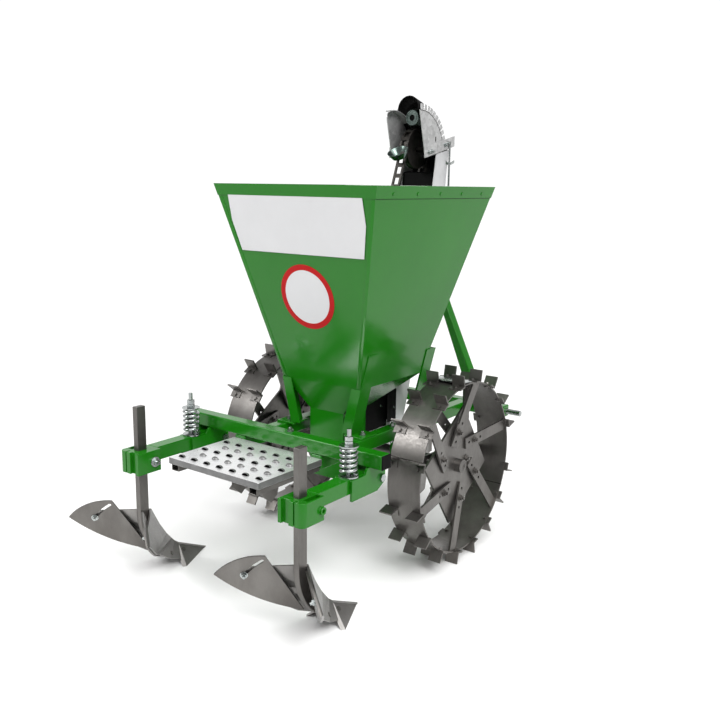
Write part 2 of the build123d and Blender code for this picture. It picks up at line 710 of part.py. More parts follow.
# Sprung ridger arms hung from the crossbar
arms = []
plates = []
bolts = []
springs = []
rods = []
clamps = []
for s in (-1, 1):
    x = s * ROW
    arm = block(x - TUBE / 2, x + TUBE / 2, CLAMP_FRONT, ARM_FRONT, ARM_Z, ARM_TOP)
    arm -= ngon_x(x - TUBE, x + TUBE, PIVOT_Y, PIVOT_Z, PIVOT_R, 2 * SMALL_SIDES)
    arms.append(arm)
    for t in (-1, 1):
        x0 = x + t * (TUBE / 2 + PLATE_GAP)
        plate = slab_x(
            [
                (PLATE_FRONT, PLATE_Z + 22),
                (PLATE_FRONT, BAR_Z),
                (BAR_REAR - 4, BAR_Z),
                (BAR_REAR - 16, ARM_TOP - 2),
                (PLATE_REAR, ARM_TOP - 2),
                (PLATE_REAR, PLATE_Z),
                (PLATE_FRONT - 40, PLATE_Z),
            ],
            min(x0, x0 + t * PLATE_T),
            max(x0, x0 + t * PLATE_T),
        )
        plates.append(plate - ngon_x(x - 2 * TUBE, x + 2 * TUBE, PIVOT_Y, PIVOT_Z, PIVOT_R, 2 * SMALL_SIDES))
    half = TUBE / 2 + PLATE_GAP + PLATE_T
    end = half + PIVOT_HEAD
    bolt = ngon_x(x - end, x + end, PIVOT_Y, PIVOT_Z, PIVOT_R, 2 * SMALL_SIDES)
    bolt += ngon_x(x - end, x - half, PIVOT_Y, PIVOT_Z, PIVOT_HEAD_R, 6)
    bolt += ngon_x(x + half, x + end, PIVOT_Y, PIVOT_Z, PIVOT_HEAD_R, 6)
    bolts.append(bolt)
    spring_top = ARM_TOP + SPRING_H
    rod = ngon_z(x, SPRING_Y, ARM_TOP, ROD_TOP, ROD_R, SPRING_SIDES)
    for z in (ARM_TOP, spring_top):
        rod += ngon_z(x, SPRING_Y, z, z + WASHER_T, WASHER_R, 2 * SPRING_SIDES)
    for z in (spring_top + WASHER_T, spring_top + WASHER_T + NUT_H + 2):
        rod += ngon_z(x, SPRING_Y, z, z + NUT_H, NUT_R, 6)
    rods.append(rod)
    pitch = (SPRING_H - WASHER_T) / SPRING_TURNS
    core = Pos(x, SPRING_Y, ARM_TOP + WASHER_T)
    coil = ngon_z(0, 0, 0, SPRING_H - WASHER_T, SPRING_R - SPRING_WIRE, SPRING_SIDES)
    for i in range(SPRING_TURNS):
        z = pitch * (i + 0.5)
        coil += ngon_z(0, 0, z - SPRING_WIRE, z + SPRING_WIRE, SPRING_R + SPRING_WIRE, SPRING_SIDES)
    coil -= ngon_z(0, 0, -SPRING_H, 2 * SPRING_H, ROD_R, SPRING_SIDES)
    springs.append(core * coil)
    clamps.append(Pos(x, 0, 0) * (clamp if s > 0 else mirror(clamp, about=Plane.YZ)))
save("ridger_arms", *arms)
save("arm_plates", *plates)
save("pivot_bolts", *bolts)
save("spring_coils", *springs)
save("spring_rods", *rods)
save("shank_clamps", *clamps)

# Ridger bodies: shank, creased mould-boards, roof-shaped share and two wings
pivot = Vector(*WING_PIVOT)
tip = Vector(*WING_TIP)
top = Vector(*WING_TOP)
along = (tip - pivot).normalized()
out = (top - pivot).cross(along).normalized()
across = along.cross(out)
reach = (tip - pivot).length
u = (top - pivot).dot(along)
v = (top - pivot).dot(across)
outline = [
    Line((0, 0), (u, v)),
    ThreePointArc((u, v), ((u + reach) / 2 + 16, v / 2 + 12), (reach, 0)),
    ThreePointArc((reach, 0), (reach / 2, -20), (0, 0)),
]
blade = make_face(Wire(outline)) - SlotArc(CenterArc((0, 0), SLOT_AT * reach, 10, 19), SLOT_W)
wing_plane = Plane(origin=pivot, x_dir=along, z_dir=along.cross(across))
if wing_plane.z_dir.Y > 0:
    wing = extrude(wing_plane * blade, -WING_T)
else:
    wing = extrude(wing_plane * blade, WING_T)
crease = [Vector(0, y, z) for y, z in BOARD_CREASE]
edge = [pivot + along * a + across * c + out * BOARD_T for a, c in BOARD_SEAT]
edge += [Vector(*p) for p in BOARD_NOSE]
half_space = block(0, ROW, -ROW * 4, ROW, -ROW, ROW * 2)
half_board = sheet(crease, edge, out * -BOARD_T) & half_space
half_ahead = sheet(crease, edge, Vector(0, ROW, 0))
board = half_board + mirror(half_board, about=Plane.YZ)
ahead = half_ahead + mirror(half_ahead, about=Plane.YZ)


def beside(dy, z):
    return (-SHANK_W / 2, SHANK_FRONT + dy, z)


shank_edge = [
    Line(beside(-SHANK_D, SHANK_TOP), beside(0, SHANK_TOP)),
    Line(beside(0, SHANK_TOP), beside(0, FROG_Z)),
    ThreePointArc(beside(0, FROG_Z), beside(*FROG_BOW), beside(*FROG_TOE)),
    Line(beside(*FROG_TOE), beside(*FROG_HEEL)),
    ThreePointArc(
        beside(*FROG_HEEL), beside(FROG_BACK[0] - SHANK_D, FROG_BACK[1]), beside(-SHANK_D, FROG_Z)
    ),
    Line(beside(-SHANK_D, FROG_Z), beside(-SHANK_D, SHANK_TOP)),
]
shank = extrude(make_face(Wire(shank_edge)), SHANK_W, dir=(1, 0, 0)) - ahead - board
tri = make_face(Polyline((0, *SHARE_TOP), (0, *SHARE_TIP), (SHARE_X, *SHARE_HEEL), close=True))
half_share = extrude(tri, SHARE_T, dir=(-0.6, -0.8, 0))
share = half_share + mirror(half_share, about=Plane.YZ) - board
rows = [Pos(-ROW, 0, 0), Pos(ROW, 0, 0)]
save("shanks", *[row * shank for row in rows])
save("mouldboards", *[row * board for row in rows])
save("shares", *[row * share for row in rows])
save("wings", *[row * shape for row in rows for shape in pair(wing)])

# Step behind the hopper on two small tubes
step = block(-STEP_X, STEP_X, STEP_REAR, STEP_FRONT, STEP_TOP - STEP_EDGE, STEP_TOP)
step -= block(
    -STEP_X + STEP_SHEET,
    STEP_X - STEP_SHEET,
    STEP_REAR + STEP_SHEET,
    STEP_FRONT - STEP_SHEET,
    0,
    STEP_TOP - STEP_SHEET,
)
save("step_plate", step)
step_tube = block(
    RAIL_X - STEP_TUBE_W / 2,
    RAIL_X + STEP_TUBE_W / 2,
    STEP_REAR + STEP_SHEET,
    BAR_REAR,
    STEP_TOP - STEP_EDGE - STEP_TUBE_H,
    STEP_TOP - STEP_EDGE,
)
step_tube -= block(
    RAIL_X - STEP_TUBE_W / 2 + STEP_TUBE_T,
    RAIL_X + STEP_TUBE_W / 2 - STEP_TUBE_T,
    STEP_REAR,
    BAR_REAR,
    STEP_TOP - STEP_EDGE - STEP_TUBE_H + STEP_TUBE_T,
    STEP_TOP - STEP_EDGE - STEP_TUBE_T,
)
under = STEP_TOP - STEP_SHEET
hanger = slab_x([(y, under + z) for y, z in HANGER], HANGER_X, HANGER_X + HANGER_T)
save("step_tubes", *pair(step_tube), *pair(hanger))

# Furrow opener: two cheeks that meet in a raked nose, on a stem under the front bar
plan = [
    (0, OPENER_TIP),
    (OPENER_X, OPENER_REAR),
    (OPENER_X - OPENER_T, OPENER_REAR),
    (0, OPENER_TIP - 4 * OPENER_T),
    (OPENER_T - OPENER_X, OPENER_REAR),
    (-OPENER_X, OPENER_REAR),
]
cheeks = extrude(make_face(Polyline(*[(x, y, OPENER_Z) for x, y in plan], close=True)), OPENER_TOP - OPENER_Z)
cheeks -= slab_x(
    [
        (OPENER_TIP - OPENER_NOSE, OPENER_Z),
        (OPENER_TIP + 1, OPENER_Z),
        (OPENER_TIP + 1, OPENER_TOP),
        (OPENER_TIP, OPENER_TOP),
    ],
    -OPENER_X,
    OPENER_X,
)
stem = block(-OPENER_STEM, OPENER_STEM, OPENER_TIP - 60, FRONT_Y + TUBE / 2 - 20, OPENER_TOP - 40, RAIL_Z)
save("furrow_opener", cheeks + stem)
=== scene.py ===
import json
import math

import bmesh
import bpy
from mathutils import Matrix, Vector


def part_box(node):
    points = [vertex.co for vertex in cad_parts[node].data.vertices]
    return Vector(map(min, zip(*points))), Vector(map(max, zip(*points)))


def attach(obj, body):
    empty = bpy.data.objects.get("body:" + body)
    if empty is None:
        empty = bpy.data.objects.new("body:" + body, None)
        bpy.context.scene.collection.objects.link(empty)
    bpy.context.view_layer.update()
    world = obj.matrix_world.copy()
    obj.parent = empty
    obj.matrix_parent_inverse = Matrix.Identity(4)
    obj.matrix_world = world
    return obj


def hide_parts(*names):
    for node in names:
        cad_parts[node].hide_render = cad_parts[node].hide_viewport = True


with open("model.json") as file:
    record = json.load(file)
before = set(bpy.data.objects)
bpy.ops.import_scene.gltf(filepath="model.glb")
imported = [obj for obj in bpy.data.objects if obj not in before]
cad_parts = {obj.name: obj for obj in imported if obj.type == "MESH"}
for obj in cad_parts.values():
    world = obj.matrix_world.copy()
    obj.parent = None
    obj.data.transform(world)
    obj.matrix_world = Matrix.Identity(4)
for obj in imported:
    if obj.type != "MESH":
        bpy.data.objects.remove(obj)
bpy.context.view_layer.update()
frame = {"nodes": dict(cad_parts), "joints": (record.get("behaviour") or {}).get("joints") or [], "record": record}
nodes = frame["nodes"]

# Camera: place, turn and tilt in degrees, lens and image width in millimetres
CAMERA_AT = (1.80126, -2.24326, 1.26779)
CAMERA_AZIMUTH = 36.7254
CAMERA_PITCH = 11.613
CAMERA_ROLL = 0.818
CAMERA_LENS = 42.974
CAMERA_SENSOR = 36.0

# Studio: floor, wide overhead glow, soft lights and a backdrop that is brightest toward one side
FLOOR_SIZE = 80.0
GLOW_FROM, GLOW_STRENGTH, GLOW_ANGLE = (0.45, -0.25, 1.0), 2.6, 70.0
LIGHT_SPREAD = 70.0
SOFT_LIGHTS = (
    # name, place, aim, size, watts
    ("key_light", (3.4, -1.6, 3.6), (0, 0.1, 0.5), 1.8, 17),
    ("fill_light", (-3.0, -3.6, 3.6), (0, 0, 0.5), 1.6, 22),
)
BACKDROP_TOWARD = (-0.6, 0.8, 0.0)
BACKDROP_EDGE, BACKDROP_FULL = 0.45, 0.88
BACKDROP_DIM, BACKDROP_BRIGHT = 0.42, 1.06

# Hopper: half width, rear edge and height at the rim and at the fold
RIM_X, RIM_Y, RIM_Z = 0.332, -0.206, 1.262
FOLD_X, FOLD_Y, FOLD_Z = 0.167, -0.048, 0.604
RIM_FRONT, FOLD_FRONT = 0.502, 0.313
LIP_H, LIP_T = 0.038, 0.002
SEAM_W, SEAM_T, SEAM_END = 0.016, 0.0012, 0.004
# Painted shadow strip under the lip: height and thickness
SHADE_LINE_H, SHADE_LINE_T = 0.0020, 0.0008
SPOT_DROP, SPOT_R = 0.024, 0.0065
SPOT_Y = (-0.112, 0.02, 0.153, 0.286, 0.42)

# Signs on the rear wall: places are down the wall from the rim
SIGN_TOP, SIGN_MID, SIGN_LOW = 0.037, 0.121, 0.224
SIGN_TOP_X, SIGN_MID_X, SIGN_LOW_X = 0.2755, 0.277, 0.2545
SIGN_T, SIGN_LIFT = 0.0008, 0.0002
DISC_DOWN, DISC_R, DISC_EDGE, DISC_RING = 0.369, 0.1105, 0.0015, 0.0175

# Bolts: head radius, head height and the length of thread that stands out
WING_NUT = (0.0085, 0.006, 0.006)
CLAMP_BOLT = (0.0125, 0.009, 0.010)
FRAME_BOLT = (0.009, 0.0065, 0.006)
SPOKE_BOLT = (0.0105, 0.007, 0.006)
HUB_BOLT = (0.0105, 0.007, 0.005)
LUG_BOLT = (0.0065, 0.0045)
HEAD_BOLT = (0.0062, 0.005, 0.006)
CASE_BOLT = (0.0035, 0.003)

# Washer and thread, as shares of the bolt's head
WASHER_R, WASHER_H, THREAD_R = 1.35, 0.3, 0.52

# Frame bolts: over the leg feet, through the rails at the bearings and on the rear bar
RAIL_H = 0.045
FEET_AT = ((0.160, -0.024, 0.446), (0.160, 0.340, 0.446))
BEARINGS_AT = ((0.165, 0.143, 0.440), (0.165, 0.277, 0.440))
BAR_BOLT_AT = (0.034, -0.243, 0.485)

# Wheel: band, lugs, joints and laps of the half bands, axle ends, star plate and spokes
AXLE = Vector(frame["joints"][0]["pos_m"])
WHEEL_R, BAND_T = 0.294, 0.005
BAND_IN, BAND_OUT = 0.307, 0.429
LUG_W, LUG_T, LUG_OVER, LUG_STEP, LUGS = 0.046, 0.005, 0.012, 21.0, 8
LUG_BOLT_AT = 0.018
JOINT_TURNS = (163.0, -27.0)
JOINT_W, JOINT_OVER, JOINT_PROUD = 0.0035, 0.001, 0.0012
LAP_FROM, LAP_TO, LAP_T, LAP_LIFT, LAP_GAP = 87.0, 99.5, 0.004, 7.0, 0.0004
AXLE_END_R, AXLE_END_H, AXLE_END_SINK = 0.0165, 0.003, 0.0012
AXLE_END_RINGS = (0.004, 0.006)
PLATE_FACE, PLATE_T = 0.390, 0.008
SPOKE_TURN, SPOKE_OFF, SPOKE_START, SPOKE_T = 66.0, 0.060, 0.052, 0.007
SPOKES, SPOKE_BOLT_R, SPOKE_INSET = 6, 0.105, 0.014
HUB_BOLT_AHEAD, HUB_BOLT_UP = 0.062, 0.009
FINE_ROUND = 0.0004

# Ridgers: half the row spacing, wing corners and slot, bolts and springs
ROW = 0.3375
WING_PIVOT = Vector((0.026, -0.500, 0.062))
WING_TIP = Vector((0.196, -0.689, 0.191))
WING_TOP = Vector((0.077, -0.607, 0.250))
WING_T = 0.005
SLOT_R, SLOT_LOW = 0.213, 10.0
PLOUGH_HEAD_R = 0.0075
PLOUGH_BOLTS = (
    # place beside the row, facing
    ((0.0427, -0.467, 0.0515), (0.76, 0.51, 0.41)),
    ((0.0209, -0.397, 0.0352), (0.66, 0.31, 0.68)),
)
CLAMP_BOLT_AT = (0.2945, -0.525, 0.385)
SPRING_Y, SPRING_R, WIRE_R, SPRING_TURNS = -0.329, 0.0235, 0.0052, 5.0

# Step teeth: rows hold y, first x, how many and the turn in degrees
TOOTH_R, TOOTH_H, TOOTH_T = 0.0125, 0.0075, 0.0012
# Black half discs in the teeth's mouths are painted shade
MOUTH_SHADE_R, MOUTH_SHADE_REACH, MOUTH_SHADE_T = 0.92 * TOOTH_R, 0.004, 0.0003
TOOTH_PITCH = 0.0545
TOOTH_ROWS = ((-0.530, -0.161, 7, 0), (-0.477, -0.120, 6, 180), (-0.435, -0.161, 7, 0),
              (-0.381, -0.120, 6, 180), (-0.339, -0.161, 7, 0))

# Elevator: chain strand and cups, head plates, dark plates beside the chain case, rod nuts and dark sheets inside
# the duct
STRAND_TOP = Vector((0, 0.41607, 1.39202))
STRAND_SLOPE = 0.37
SPROCKET_Y = 0.49207
CUP_R, CUP_LOW_R, CUP_H, CUP_T, CUP_HOLE = 0.040, 0.027, 0.024, 0.0025, 0.011
CUP_STEP, CUP_SINK, CUP_EDGE, CUP_BITE = 0.004, 0.0012, 0.0007, 0.003
CUP_DROP, CUP_PITCH, CUPS, CUP_TILT, CUP_REACH = 0.019, 0.152, 5, 30.0, 0.022
CHAIN_OVER = 0.076
HEAD_AT = Vector((0, 0.418, 1.375))
HEAD_BOLTS_AT = ((0.080, 0.462, 1.381), (0.080, 0.480, 1.385), (0.080, 0.572, 1.412), (0.080, 0.592, 1.417))
PLATE_X, MARK_T = 0.075, 0.0005
# The bend line and slot on the head plates are painted dark as shade
BEND_R, BEND_W, BEND_FROM, BEND_TO = 0.1515, 0.0018, 21.0, 94.0
PLATE_SLOT_AT = Vector((0, 0.514, 1.424))
PLATE_SLOT_R, PLATE_SLOT_L = 0.0030, 0.012
COVER_STRIP_X = -0.0415
# Dark plates beside the chain case: place, length, height, thickness and corner round
DARK_PLATE_AT = Vector((0, 0.266, 0.490))
DARK_PLATE_L, DARK_PLATE_H, DARK_PLATE_T, DARK_PLATE_ROUND = 0.056, 0.150, 0.0015, 0.008
CASE_BOLT_Y, CASE_BOLT_Z = 0.219, 0.480
DARK_PLATE_BOLT_Y, DARK_PLATE_BOLT_Z = 0.281, 0.465
ROD_NUT_R, ROD_NUT_H, ROD_NUT_Z = 0.0075, 0.010, 1.345
ROD_NUT_IN, ROD_NUT_AHEAD, ROD_NUT_TURN = 0.008, 0.016, 35
NUT_WING, NUT_WING_UP, NUT_ROUND = (2.6, 0.8, 1.0), 0.007, 0.0006
DARK_SHEET_W = 0.143
FLAP_T, FLAP_H, FLAP_AT, FLAP_LEAN = 0.003, 0.110, (0, 0.514, 1.255), 0.012
FLAP_INSET, FLAP_TIP = 0.0008, (0, 0.010, 0.004)
FRONT_T, FRONT_H, FRONT_AT = 0.002, 0.150, (0, 0.5875, 1.3)
FRONT_TOP_LEAN, FRONT_LOW_LEAN = 0.011, -0.013


def deselect():
    if bpy.context.mode != "OBJECT":
        bpy.ops.object.mode_set(mode="OBJECT")
    bpy.ops.object.select_all(action="DESELECT")


def shape(kind):
    bpy.ops.object.mode_set(mode="EDIT")
    bpy.ops.mesh.select_mode(type=kind)
    bpy.ops.mesh.select_all(action="DESELECT")


def pick(test):
    mesh = bmesh.from_edit_mesh(bpy.context.object.data)
    kind = bpy.context.tool_settings.mesh_select_mode
    parts = mesh.verts if kind[0] else mesh.edges if kind[1] else mesh.faces
    bpy.ops.mesh.select_all(action="DESELECT")
    for part in parts:
        if test(part):
            part.select_set(True)
    mesh.select_flush_mode()
    bmesh.update_edit_mesh(bpy.context.object.data)


def facing(axis, sign=1):
    return lambda face: face.normal[axis] * sign > 0.9


def edge_at(axis, value, slack=1e-4):
    return lambda edge: all(abs(v.co[axis] - value) < slack for v in edge.verts)


def shaped():
    bpy.ops.object.mode_set(mode="OBJECT")
    return bpy.context.object


def joined(objs):
    deselect()
    for obj in objs:
        obj.select_set(True)
    bpy.context.view_layer.objects.active = objs[0]
    if len(objs) > 1:
        bpy.ops.object.join()
    return bpy.context.object


def settle(obj):
    deselect()
    obj.select_set(True)
    bpy.context.view_layer.objects.active = obj
    bpy.ops.object.transform_apply(location=True, rotation=True, scale=True)
    return obj


def fit(obj, name, finish, body="frame", smooth=35):
    settle(obj)
    bpy.ops.object.shade_smooth_by_angle(angle=math.radians(smooth))
    obj.name = name
    obj.data.name = name
    if not obj.data.materials:
        obj.data.materials.append(FINISH[finish])
    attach(obj, body)
    return obj


def set_out(master, places):
    copies = []
    for place in places:
        copy = bpy.data.objects.new(master.name, master.data.copy())
        copy.data.transform(place)
        bpy.context.scene.collection.objects.link(copy)
        copies.append(copy)
    bpy.data.objects.remove(master)
    return joined(copies)


def at(point, normal, spin=0.0):
    turn = Vector(normal).to_track_quat("Z", "Y").to_matrix().to_4x4()
    return Matrix.Translation(point) @ turn @ Matrix.Rotation(math.radians(spin), 4, "Z")


def both_sides(points):
    return [Vector((s * x, y, z)) for x, y, z in points for s in (1, -1)]


def mirrored(places):
    flip = Matrix.Scale(-1, 4, (1, 0, 0))
    return places + [flip @ place @ flip for place in places]


# A flat shape drawn in x and y stands up in the side view, its thickness across the machine
TO_SIDE = Matrix(((0, 0, 1), (1, 0, 0), (0, 1, 0))).to_4x4()


def with_mirror(obj):
    set_out(obj, [Matrix(), Matrix.Scale(-1, 4, (1, 0, 0))])
    shape("FACE")
    bpy.ops.mesh.select_all(action="SELECT")
    bpy.ops.mesh.normals_make_consistent(inside=False)
    return shaped()


def arc_strip(r, width, start, end, depth):
    deselect()
    bpy.ops.mesh.primitive_circle_add(vertices=144, radius=r, fill_type="NGON")
    shape("FACE")
    bpy.ops.mesh.select_all(action="SELECT")
    bpy.ops.mesh.inset(thickness=width)
    bpy.ops.mesh.delete(type="FACE")
    for turn, sign in ((start, -1), (end, 1)):
        a = math.radians(turn)
        past = (-sign * math.sin(a), sign * math.cos(a), 0)
        bpy.ops.mesh.select_all(action="SELECT")
        bpy.ops.mesh.bisect(plane_co=(0, 0, 0), plane_no=past, clear_outer=True)
    bpy.ops.mesh.select_all(action="SELECT")
    bpy.ops.mesh.extrude_region_move(TRANSFORM_OT_translate={"value": (0, 0, depth)})
    return settle(shaped())


# Finishes
def node_group(name, inputs, outputs):
    tree = bpy.data.node_groups.new(name, "ShaderNodeTree")
    for label, kind, value in inputs:
        socket = tree.interface.new_socket(label, in_out="INPUT", socket_type=kind)
        socket.default_value = value
    for label, kind in outputs:
        tree.interface.new_socket(label, in_out="OUTPUT", socket_type=kind)
    return tree, tree.nodes.new("NodeGroupInput"), tree.nodes.new("NodeGroupOutput")


def add_node(tree, kind, **values):
    node = tree.nodes.new(kind)
    for key, value in values.items():
        setattr(node, key, value)
    return node


def mapped(tree, source, low, high):
    node = add_node(tree, "ShaderNodeMapRange")
    tree.links.new(source, node.inputs["Value"])
    node.inputs["From Min"].default_value = low
    node.inputs["From Max"].default_value = high
    return node


def clouds_group():
    tree, start, end = node_group(
        "cloudy_tone",
        [("Scale", "NodeSocketFloat", 6.0), ("Stretch", "NodeSocketVector", (1, 1, 1)),
         ("Dark", "NodeSocketColor", (0, 0, 0, 1)), ("Light", "NodeSocketColor", (1, 1, 1, 1))],
        [("Color", "NodeSocketColor")],
    )
    place = add_node(tree, "ShaderNodeTexCoord")
    stretch = add_node(tree, "ShaderNodeMapping")
    noise = add_node(tree, "ShaderNodeTexNoise")
    noise.inputs["Detail"].default_value = 5.0
    noise.inputs["Roughness"].default_value = 0.6
    mix = add_node(tree, "ShaderNodeMix", data_type="RGBA")
    tree.links.new(place.outputs["Object"], stretch.inputs["Vector"])
    tree.links.new(start.outputs["Stretch"], stretch.inputs["Scale"])
    tree.links.new(stretch.outputs["Vector"], noise.inputs["Vector"])
    tree.links.new(start.outputs["Scale"], noise.inputs["Scale"])
    mask = mapped(tree, noise.outputs["Fac"], 0.3, 0.7)
    tree.links.new(mask.outputs["Result"], mix.inputs["Factor"])
    tree.links.new(start.outputs["Dark"], mix.inputs["A"])
    tree.links.new(start.outputs["Light"], mix.inputs["B"])
    tree.links.new(mix.outputs["Result"], end.inputs["Color"])
    return tree


def dust_group():
    tree, start, end = node_group(
        "floor_dust",
        [("Color", "NodeSocketColor", (0, 0, 0, 1)), ("Dust", "NodeSocketColor", (0.4, 0.36, 0.3, 1)),
         ("Top", "NodeSocketFloat", 0.3), ("Amount", "NodeSocketFloat", 0.3)],
        [("Color", "NodeSocketColor")],
    )
    place = add_node(tree, "ShaderNodeTexCoord")
    split = add_node(tree, "ShaderNodeSeparateXYZ")
    noise = add_node(tree, "ShaderNodeTexNoise")
    noise.inputs["Scale"].default_value = 14.0
    noise.inputs["Detail"].default_value = 6.0
    height = add_node(tree, "ShaderNodeMapRange")
    height.inputs["To Min"].default_value = 1.0
    height.inputs["To Max"].default_value = 0.0
    patch = add_node(tree, "ShaderNodeMath", operation="MULTIPLY")
    share = add_node(tree, "ShaderNodeMath", operation="MULTIPLY")
    mix = add_node(tree, "ShaderNodeMix", data_type="RGBA")
    tree.links.new(place.outputs["Object"], split.inputs["Vector"])
    tree.links.new(place.outputs["Object"], noise.inputs["Vector"])
    tree.links.new(split.outputs["Z"], height.inputs["Value"])
    tree.links.new(start.outputs["Top"], height.inputs["From Max"])
    tree.links.new(height.outputs["Result"], patch.inputs[0])
    tree.links.new(noise.outputs["Fac"], patch.inputs[1])
    tree.links.new(patch.outputs["Value"], share.inputs[0])
    tree.links.new(start.outputs["Amount"], share.inputs[1])
    tree.links.new(share.outputs["Value"], mix.inputs["Factor"])
    tree.links.new(start.outputs["Color"], mix.inputs["A"])
    tree.links.new(start.outputs["Dust"], mix.inputs["B"])
    tree.links.new(mix.outputs["Result"], end.inputs["Color"])
    return tree


def grain_group():
    tree, start, end = node_group(
        "fine_grain",
        [("Scale", "NodeSocketFloat", 300.0), ("Stretch", "NodeSocketVector", (1, 1, 1)),
         ("Smooth", "NodeSocketFloat", 0.3), ("Rough", "NodeSocketFloat", 0.5)],
        [("Height", "NodeSocketFloat"), ("Roughness", "NodeSocketFloat")],
    )
    place = add_node(tree, "ShaderNodeTexCoord")
    stretch = add_node(tree, "ShaderNodeMapping")
    noise = add_node(tree, "ShaderNodeTexNoise")
    noise.inputs["Detail"].default_value = 3.0
    tree.links.new(place.outputs["Object"], stretch.inputs["Vector"])
    tree.links.new(start.outputs["Stretch"], stretch.inputs["Scale"])
    tree.links.new(stretch.outputs["Vector"], noise.inputs["Vector"])
    tree.links.new(start.outputs["Scale"], noise.inputs["Scale"])
    spread = mapped(tree, noise.outputs["Fac"], 0.3, 0.7)
    tree.links.new(start.outputs["Smooth"], spread.inputs["To Min"])
    tree.links.new(start.outputs["Rough"], spread.inputs["To Max"])
    tree.links.new(noise.outputs["Fac"], end.inputs["Height"])
    tree.links.new(spread.outputs["Result"], end.inputs["Roughness"])
    return tree


CLOUDS = clouds_group()
DUST = dust_group()
GRAIN = grain_group()


def placed_group(mat, tree, **values):
    node = mat.node_tree.nodes.new("ShaderNodeGroup")
    node.node_tree = tree
    for key, value in values.items():
        node.inputs[key].default_value = value
    return node


def finish(name, dark, light, cloud, metal, rough, grain, bump,
           stretch=(1, 1, 1), dust=0.0, coat=0.0, shine=0.5):
    mat = bpy.data.materials.new(name)
    mat.use_nodes = True
    tree = mat.node_tree
    shader = tree.nodes["Principled BSDF"]
    shader.inputs["Metallic"].default_value = metal
    shader.inputs["Specular IOR Level"].default_value = shine
    shader.inputs["Coat Weight"].default_value = coat
    shader.inputs["Coat Roughness"].default_value = 0.08
    tone = placed_group(mat, CLOUDS, Scale=cloud, Stretch=stretch, Dark=(*dark, 1), Light=(*light, 1))
    dusted = placed_group(mat, DUST, Amount=dust)
    fine = placed_group(mat, GRAIN, Scale=grain, Stretch=stretch, Smooth=rough[0], Rough=rough[1])
    relief = tree.nodes.new("ShaderNodeBump")
    relief.inputs["Strength"].default_value = bump
    relief.inputs["Distance"].default_value = 0.0004
    tree.links.new(tone.outputs["Color"], dusted.inputs["Color"])
    tree.links.new(dusted.outputs["Color"], shader.inputs["Base Color"])
    tree.links.new(fine.outputs["Roughness"], shader.inputs["Roughness"])
    tree.links.new(fine.outputs["Height"], relief.inputs["Height"])
    tree.links.new(relief.outputs["Normal"], shader.inputs["Normal"])
    return mat


def spangle(mat, scale, amount):
    tree = mat.node_tree
    shader = tree.nodes["Principled BSDF"]
    before = shader.inputs["Base Color"].links[0].from_socket
    place = tree.nodes.new("ShaderNodeTexCoord")
    cells = tree.nodes.new("ShaderNodeTexVoronoi")
    cells.inputs["Scale"].default_value = scale
    grey = tree.nodes.new("ShaderNodeRGBToBW")
    mix = add_node(tree, "ShaderNodeMix", data_type="RGBA", blend_type="OVERLAY")
    mix.inputs["Factor"].default_value = amount
    tree.links.new(place.outputs["Object"], cells.inputs["Vector"])
    tree.links.new(cells.outputs["Color"], grey.inputs["Color"])
    tree.links.new(before, mix.inputs["A"])
    tree.links.new(grey.outputs["Val"], mix.inputs["B"])
    tree.links.new(mix.outputs["Result"], shader.inputs["Base Color"])
    return mat


